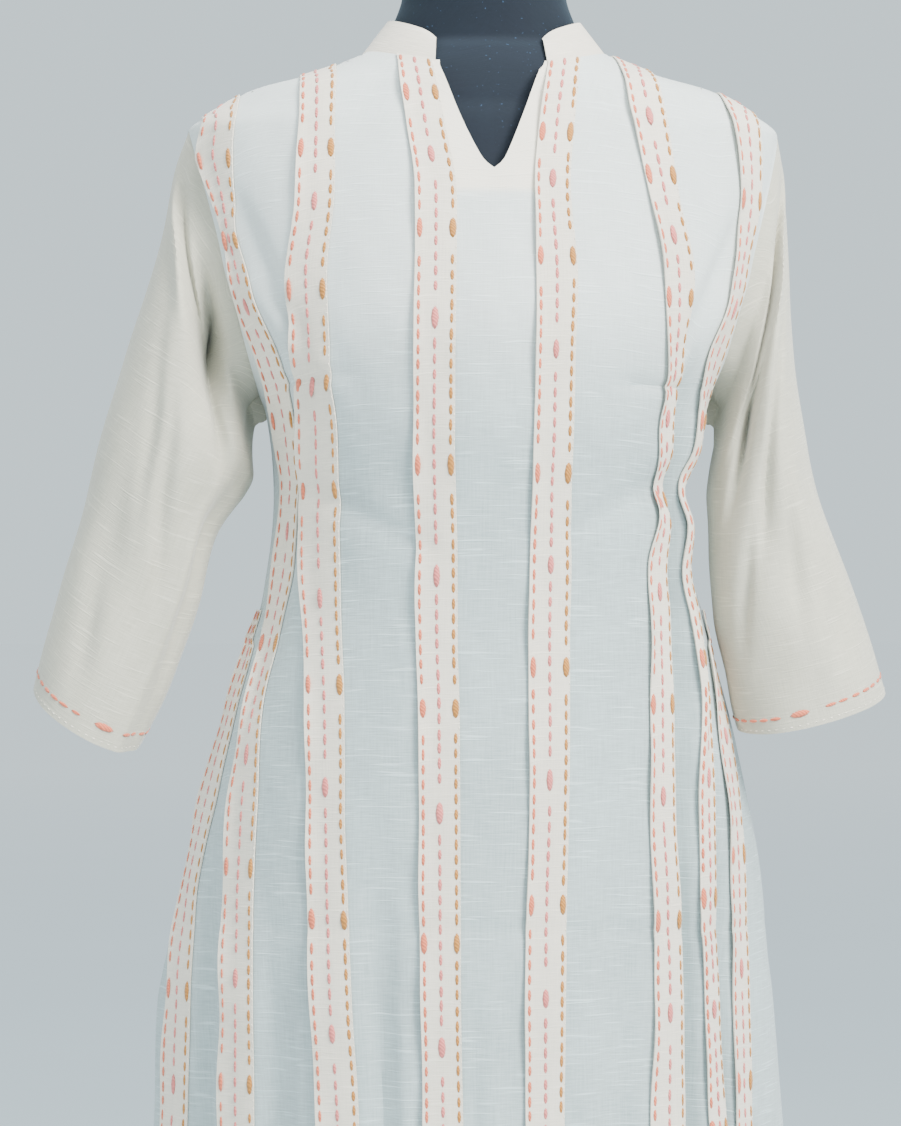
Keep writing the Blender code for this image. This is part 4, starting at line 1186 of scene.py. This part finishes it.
def band_surface(number, grid, normals, lines):
    """A band on the front's own points between its two cloth lines, with its picture's left edge curled up a
    little; its callers move it out by its wall and a seam's gap. It gives the patch of rows and columns, each
    column's share of the way across and the curl's lift."""
    left = number <= BANDS / 2
    low = 2 * number - (BANDS + 2 if left else BANDS + 1)
    half = len(lines) // 2
    side = (np.arange(len(lines)) < half) == left
    columns = np.flatnonzero(side & (lines >= low) & (lines <= low + 1) & (lines != 0))
    rows = np.arange(len(grid))
    if number in (1, BANDS):
        rows = rows[grid[:, columns[0], 2] < SIDE_BAND_TOP]
    patch = np.ix_(rows, columns)
    share = np.linspace(0, 1, len(columns))[None, :]
    wave = 1 + 0.5 * np.sin(2 * np.pi * grid[patch][..., 2] / 0.083 + number)
    lift = BAND_LIFT * np.exp(-((share / BAND_CURL) ** 2)) * wave * soft_step(0, LIFT_ROWS, rows)[:, None]
    return patch, share, lift


class KURTA_OT_front(bpy.types.Operator):
    """Builds the front panel with its V, its folds and its creases"""

    bl_idname = "kurta.front"
    bl_label = "Front"

    def execute(self, context):
        settings = context.scene.kurta
        grid, _, lines = front_surface()
        height = grid[..., 2]
        inside = 1 - soft_step(1.0, 1.12, np.abs(lines))[None, :]
        mask = inside * soft_step(1.2975, 1.3005, height)
        piece = cloth_piece("front_cloth", grid, settings.wall, sage_material(settings, True),
                            cut_column=len(lines) // 2 - 1, attributes=[(FACING_MASK, mask)])
        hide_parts("front")
        return {"FINISHED"}


class KURTA_OT_back(bpy.types.Operator):
    """Builds the plain back panel"""

    bl_idname = "kurta.back"
    bl_label = "Back"

    def execute(self, context):
        settings = context.scene.kurta
        piece = cloth_piece("back_cloth", back_grid(), settings.wall, sage_material(settings, False))
        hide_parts("back")
        return {"FINISHED"}


class KURTA_OT_bands(bpy.types.Operator):
    """Builds the eight bands that lie on the front"""

    bl_idname = "kurta.bands"
    bl_label = "Bands"

    def execute(self, context):
        settings = context.scene.kurta
        grid, normals, lines = front_surface()
        for number in range(1, BANDS + 1):
            patch, _, lift = band_surface(number, grid, normals, lines)
            points = grid[patch] + normals[patch] * (settings.band_wall + SEAM_GAP + lift)[..., None]
            piece = cloth_piece(f"band_cloth_{number}", points, settings.band_wall, cream_material(settings))
            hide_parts(f"band_{number}")
        return {"FINISHED"}


class KURTA_OT_neck(bpy.types.Operator):
    """Builds the stand collar and the facing behind the V"""

    bl_idname = "kurta.neck"
    bl_label = "Collar and facing"

    def execute(self, context):
        settings = context.scene.kurta
        cream = cream_material(settings)
        collar = cloth_piece("collar_cloth", collar_grid(), settings.band_wall, cream)
        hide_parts("collar")
        grid, normals, lines = front_surface()
        columns = np.flatnonzero(np.abs(lines) <= FACING_LINE)
        rows = np.flatnonzero(grid[:, len(lines) // 2, 2] > FACING_FOOT)
        patch = np.ix_(rows, columns)
        points = grid[patch] - normals[patch] * (settings.wall + SEAM_GAP)
        middle = len(columns) // 2 - 1
        facing = cloth_piece("facing_cloth", points, settings.band_wall, cream, cut_column=middle)
        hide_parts("neck_facing")
        return {"FINISHED"}


class KURTA_OT_sleeves(bpy.types.Operator):
    """Builds the two three-quarter sleeves"""

    bl_idname = "kurta.sleeves"
    bl_label = "Sleeves"

    def execute(self, context):
        settings = context.scene.kurta
        for name in SLEEVES:
            grid = sleeve_grid(name)
            cream = cotton("sleeve_cotton", settings.sleeve, 0.8, 0.16, 0.0004)
            piece = cloth_piece(name + "_cloth", grid, settings.wall, cream)
            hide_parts(name)
        return {"FINISHED"}


def row_places(path, normals, settings, spread, long_heights=(), long_shares=()):
    """One row of hand sewing along a path: short stitches at an even pitch with a little unevenness, left
    out where a long one lies. It gives each stitch's place, directions and sizes."""
    steps = np.linalg.norm(np.diff(path, axis=0), axis=1)
    length = np.concatenate([[0], np.cumsum(steps)])
    down = np.argsort(path[:, 2])
    heights = np.array(long_heights) / 1000
    heights = heights[(heights > path[:, 2].min() + 0.01) & (heights < path[:, 2].max() - 0.01)]
    long_at = np.interp(heights, path[down, 2], length[down])
    long_at = np.sort(np.concatenate([long_at, np.array(long_shares) * length[-1]]))
    short_at = np.arange(0.004, length[-1], settings.stitch_pitch)
    short_at = short_at + spread.uniform(-0.0006, 0.0006, len(short_at))
    clear = (settings.long_length + settings.stitch_length) / 2 + 0.002
    if len(long_at):
        short_at = short_at[np.abs(short_at[:, None] - long_at).min(axis=1) > clear]
    parts = []
    for at, size, width, thick in ((short_at, settings.stitch_length, settings.stitch_width, 0.0011),
                                   (long_at, settings.long_length, settings.long_width, 0.0019)):
        centre, direction, outward = along_path(path, normals, at)
        uneven = spread.uniform(0.9, 1.1, (2, len(centre)))
        parts.append((centre, direction, outward, size * uneven[0], width * uneven[1],
                      np.full(len(centre), thick)))
    return [np.concatenate(part) for part in zip(*parts)]


def fine_row(path, normals, start, pitch, size, width):
    """One row of machine sewing in the cloth's own colour: even small stitches along a path."""
    length = np.linalg.norm(np.diff(path, axis=0), axis=1).sum()
    centre, direction, outward = along_path(path, normals, np.arange(start, length, pitch))
    sizes = (np.full(len(centre), value) for value in (size, width, width * FINE_HEIGHT))
    return centre, direction, outward, *sizes


def band_path(points, normals, share):
    """The line down a band at a share of its width, between its two nearest columns."""
    place = share * (points.shape[1] - 1)
    low = min(int(place), points.shape[1] - 2)
    part = place - low
    blend = [grid[:, low] * (1 - part) + grid[:, low + 1] * part for grid in (points, normals)]
    return blend


class KURTA_OT_stitching(bpy.types.Operator):
    """Builds the rows of coloured running stitch, and the fine stitches at edges and hems"""

    bl_idname = "kurta.stitching"
    bl_label = "Stitching"

    def execute(self, context):
        settings = context.scene.kurta
        spread = np.random.default_rng(settings.seed)
        rows = {name: [] for name, _ in STITCH_ROWS}
        edges = []
        grid, normals, lines = front_surface()
        for number in range(1, BANDS + 1):
            patch, _, lift = band_surface(number, grid, normals, lines)
            top = grid[patch] + normals[patch] * (settings.band_wall + SEAM_GAP + lift)[..., None]
            outer, middle = LONG_STITCHES[number]
            for name, share in STITCH_ROWS:
                path, out = band_path(top, normals[patch], share)
                rows[name].append(row_places(path, out, settings, spread, middle if share == 0.5 else outer))
            path, out = band_path(top, normals[patch], 0.985)
            edges.append(fine_row(path, out, 0.003, EDGE_PITCH, EDGE_STITCH, EDGE_WIDTH))
        for name in SLEEVES:
            sleeve = sleeve_grid(name)
            out = normals_of(sleeve)
            way = 1 if name.endswith("left") else -1
            row = -1 - round(SLEEVE_LENGTH_STEPS * HEM_ROW)
            path = np.roll(sleeve[row, :-1][::way], SLEEVE_STEPS // 4, axis=0)
            around = np.roll(out[row, :-1][::way], SLEEVE_STEPS // 4, axis=0)
            rows["coral_thread"].append(row_places(path, around, settings, spread, long_shares=HEM_LONG))
            edges.append(fine_row(sleeve[-2], out[-2], 0.002, EDGE_PITCH, EDGE_STITCH, EDGE_WIDTH))
        for piece_grid in (grid[:, :len(lines) // 2], grid[:, len(lines) // 2:], back_grid()):
            out = normals_of(piece_grid)
            edges.append(fine_row(piece_grid[-5], out[-5], 0.004, EDGE_PITCH, EDGE_STITCH, EDGE_WIDTH))
        colours = {
            "coral_thread": settings.coral, "pink_thread": settings.pink, "ochre_thread": settings.ochre}
        for name, made in rows.items():
            stitch_piece(name.replace("thread", "stitches"), made, thread(name, colours[name]))
        fine = stitch_piece("edge_stitches", edges, thread("cream_thread", shaded(settings.cream, 1.15)))
        return {"FINISHED"}


class KURTA_OT_form(bpy.types.Operator):
    """Builds the form's jersey cover, and paints its pole and base"""

    bl_idname = "kurta.form"
    bl_label = "Dress form"

    def execute(self, context):
        settings = context.scene.kurta
        grid = form_grid()
        points, first, same = np.unique(grid.reshape(-1, 3), axis=0, return_index=True, return_inverse=True)
        same = same.reshape(grid.shape[:2])
        sides = np.stack([same[:-1, :-1], same[1:, :-1], same[1:, 1:], same[:-1, 1:]], axis=-1).reshape(-1, 4)
        mesh = bpy.data.meshes.new("form_cover")
        caps = [same[0, :-1].tolist(), same[-1, :-1][::-1].tolist()]
        mesh.from_pydata(points.tolist(), [], sides.tolist() + caps)
        raw = np.arange(grid[..., 0].size).reshape(grid.shape[:2])
        loops = np.stack([raw[:-1, :-1], raw[1:, :-1], raw[1:, 1:], raw[:-1, 1:]], axis=-1).reshape(-1)
        loops = np.concatenate([loops, raw[0, :-1], raw[-1, :-1][::-1]])
        layer = mesh.uv_layers.new(name=CLOTH_MAP)
        layer.data.foreach_set("uv", lengths_along(grid).reshape(-1, 2)[loops].astype(np.float32).ravel())
        mesh.shade_smooth()
        mesh.set_sharp_from_angle(angle=SHARP_EDGE)
        mesh.materials.append(jersey("black_jersey", settings.black))
        cover = bpy.data.objects.new("form_cover", mesh)
        context.scene.collection.objects.link(cover)
        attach(cover, "root")
        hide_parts("form_torso")
        metal = painted_metal("dark_metal_paint", settings.metal)
        for name in ("form_pole", "form_base"):
            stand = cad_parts[name]
            stand.data.materials.clear()
            stand.data.materials.append(metal)
        return {"FINISHED"}


def area_light(name, place, target, size, power, colour):
    """A square lamp that faces its target: its -Z axis is turned along the way there."""
    lamp = bpy.data.lights.new(name, "AREA")
    lamp.shape = "SQUARE"
    lamp.size = size
    lamp.energy = power
    lamp.color = colour
    made = bpy.data.objects.new(name, lamp)
    made.location = place
    way = np.array(target) - np.array(place)
    made.rotation_euler = (math.atan2(math.hypot(way[0], way[1]), -way[2]), 0, math.atan2(-way[0], way[1]))
    bpy.context.scene.collection.objects.link(made)


class KURTA_OT_stage(bpy.types.Operator):
    """Sets the floor, the lights, the surroundings and the camera"""

    bl_idname = "kurta.stage"
    bl_label = "Stage"

    def execute(self, context):
        stage = context.scene.kurta_stage
        corners = [(x * FLOOR_HALF, y * FLOOR_HALF, 0) for x, y in ((-1, -1), (1, -1), (1, 1), (-1, 1))]
        mesh = bpy.data.meshes.new("floor")
        mesh.from_pydata(corners, [], [(0, 1, 2, 3)])
        mesh.materials.append(plain_floor("floor_paint", stage.floor))
        floor = bpy.data.objects.new("floor", mesh)
        context.scene.collection.objects.link(floor)
        middle = (0.0, 0.0, 1.05)
        area_light("light_front", (1.5, -1.9, 2.8), middle, 1.0, stage.key, (1.0, 0.985, 0.96))
        area_light("light_left", (-2.4, -1.6, 1.5), middle, 1.6, stage.fill, (0.96, 0.98, 1.0))
        area_light("light_top", (0.3, -0.7, 3.1), middle, 1.2, stage.top, (1.0, 1.0, 1.0))
        world = bpy.data.worlds.new("surroundings")
        world.use_nodes = True
        sky = world.node_tree.nodes["Background"]
        sky.inputs["Color"].default_value = (0.86, 1.01, 1.075, 1)
        sky.inputs["Strength"].default_value = stage.sky
        context.scene.world = world
        camera = bpy.data.cameras.new("camera")
        camera.sensor_fit = "HORIZONTAL"
        camera.sensor_width = SENSOR
        camera.lens = SENSOR * CAMERA_FAR / (PHOTO_WIDTH * PIXEL)
        made = bpy.data.objects.new("camera", camera)
        right = np.array([math.cos(CAMERA_TURN), -math.sin(CAMERA_TURN), 0])
        ahead = np.array([math.sin(CAMERA_TURN), math.cos(CAMERA_TURN), 0])
        eye = -ahead * CAMERA_FAR - right * CAMERA_SIDE + np.array([0, 0, CAMERA_HEIGHT])
        made.location = eye
        made.rotation_euler = (math.pi / 2, 0, -CAMERA_TURN)
        context.scene.collection.objects.link(made)
        context.scene.camera = made
        return {"FINISHED"}


class KURTA_PT_panel(bpy.types.Panel):
    """Lists the garment's pieces and their settings"""

    bl_label = "Kurta on a dress form"
    bl_idname = "KURTA_PT_panel"
    bl_space_type = "VIEW_3D"
    bl_region_type = "UI"
    bl_category = "Kurta"

    def draw(self, context):
        for group in (context.scene.kurta, context.scene.kurta_stage):
            box = self.layout.box()
            for name in type(group).__annotations__:
                box.prop(group, name)
        for operator in OPERATORS:
            self.layout.operator(operator.bl_idname)


OPERATORS = (
    KURTA_OT_front, KURTA_OT_back, KURTA_OT_bands, KURTA_OT_neck, KURTA_OT_sleeves, KURTA_OT_stitching,
    KURTA_OT_form, KURTA_OT_stage,
)
CLASSES = (KurtaSettings, StageSettings, *OPERATORS, KURTA_PT_panel)


def register():
    for made in CLASSES:
        bpy.utils.register_class(made)
    bpy.types.Scene.kurta = PointerProperty(type=KurtaSettings)
    bpy.types.Scene.kurta_stage = PointerProperty(type=StageSettings)


def unregister():
    del bpy.types.Scene.kurta_stage
    del bpy.types.Scene.kurta
    for made in reversed(CLASSES):
        bpy.utils.unregister_class(made)


def main():
    register()
    for operator in OPERATORS:
        group, name = operator.bl_idname.split(".")
        getattr(getattr(bpy.ops, group), name)()


if __name__ == "__main__":
    main()
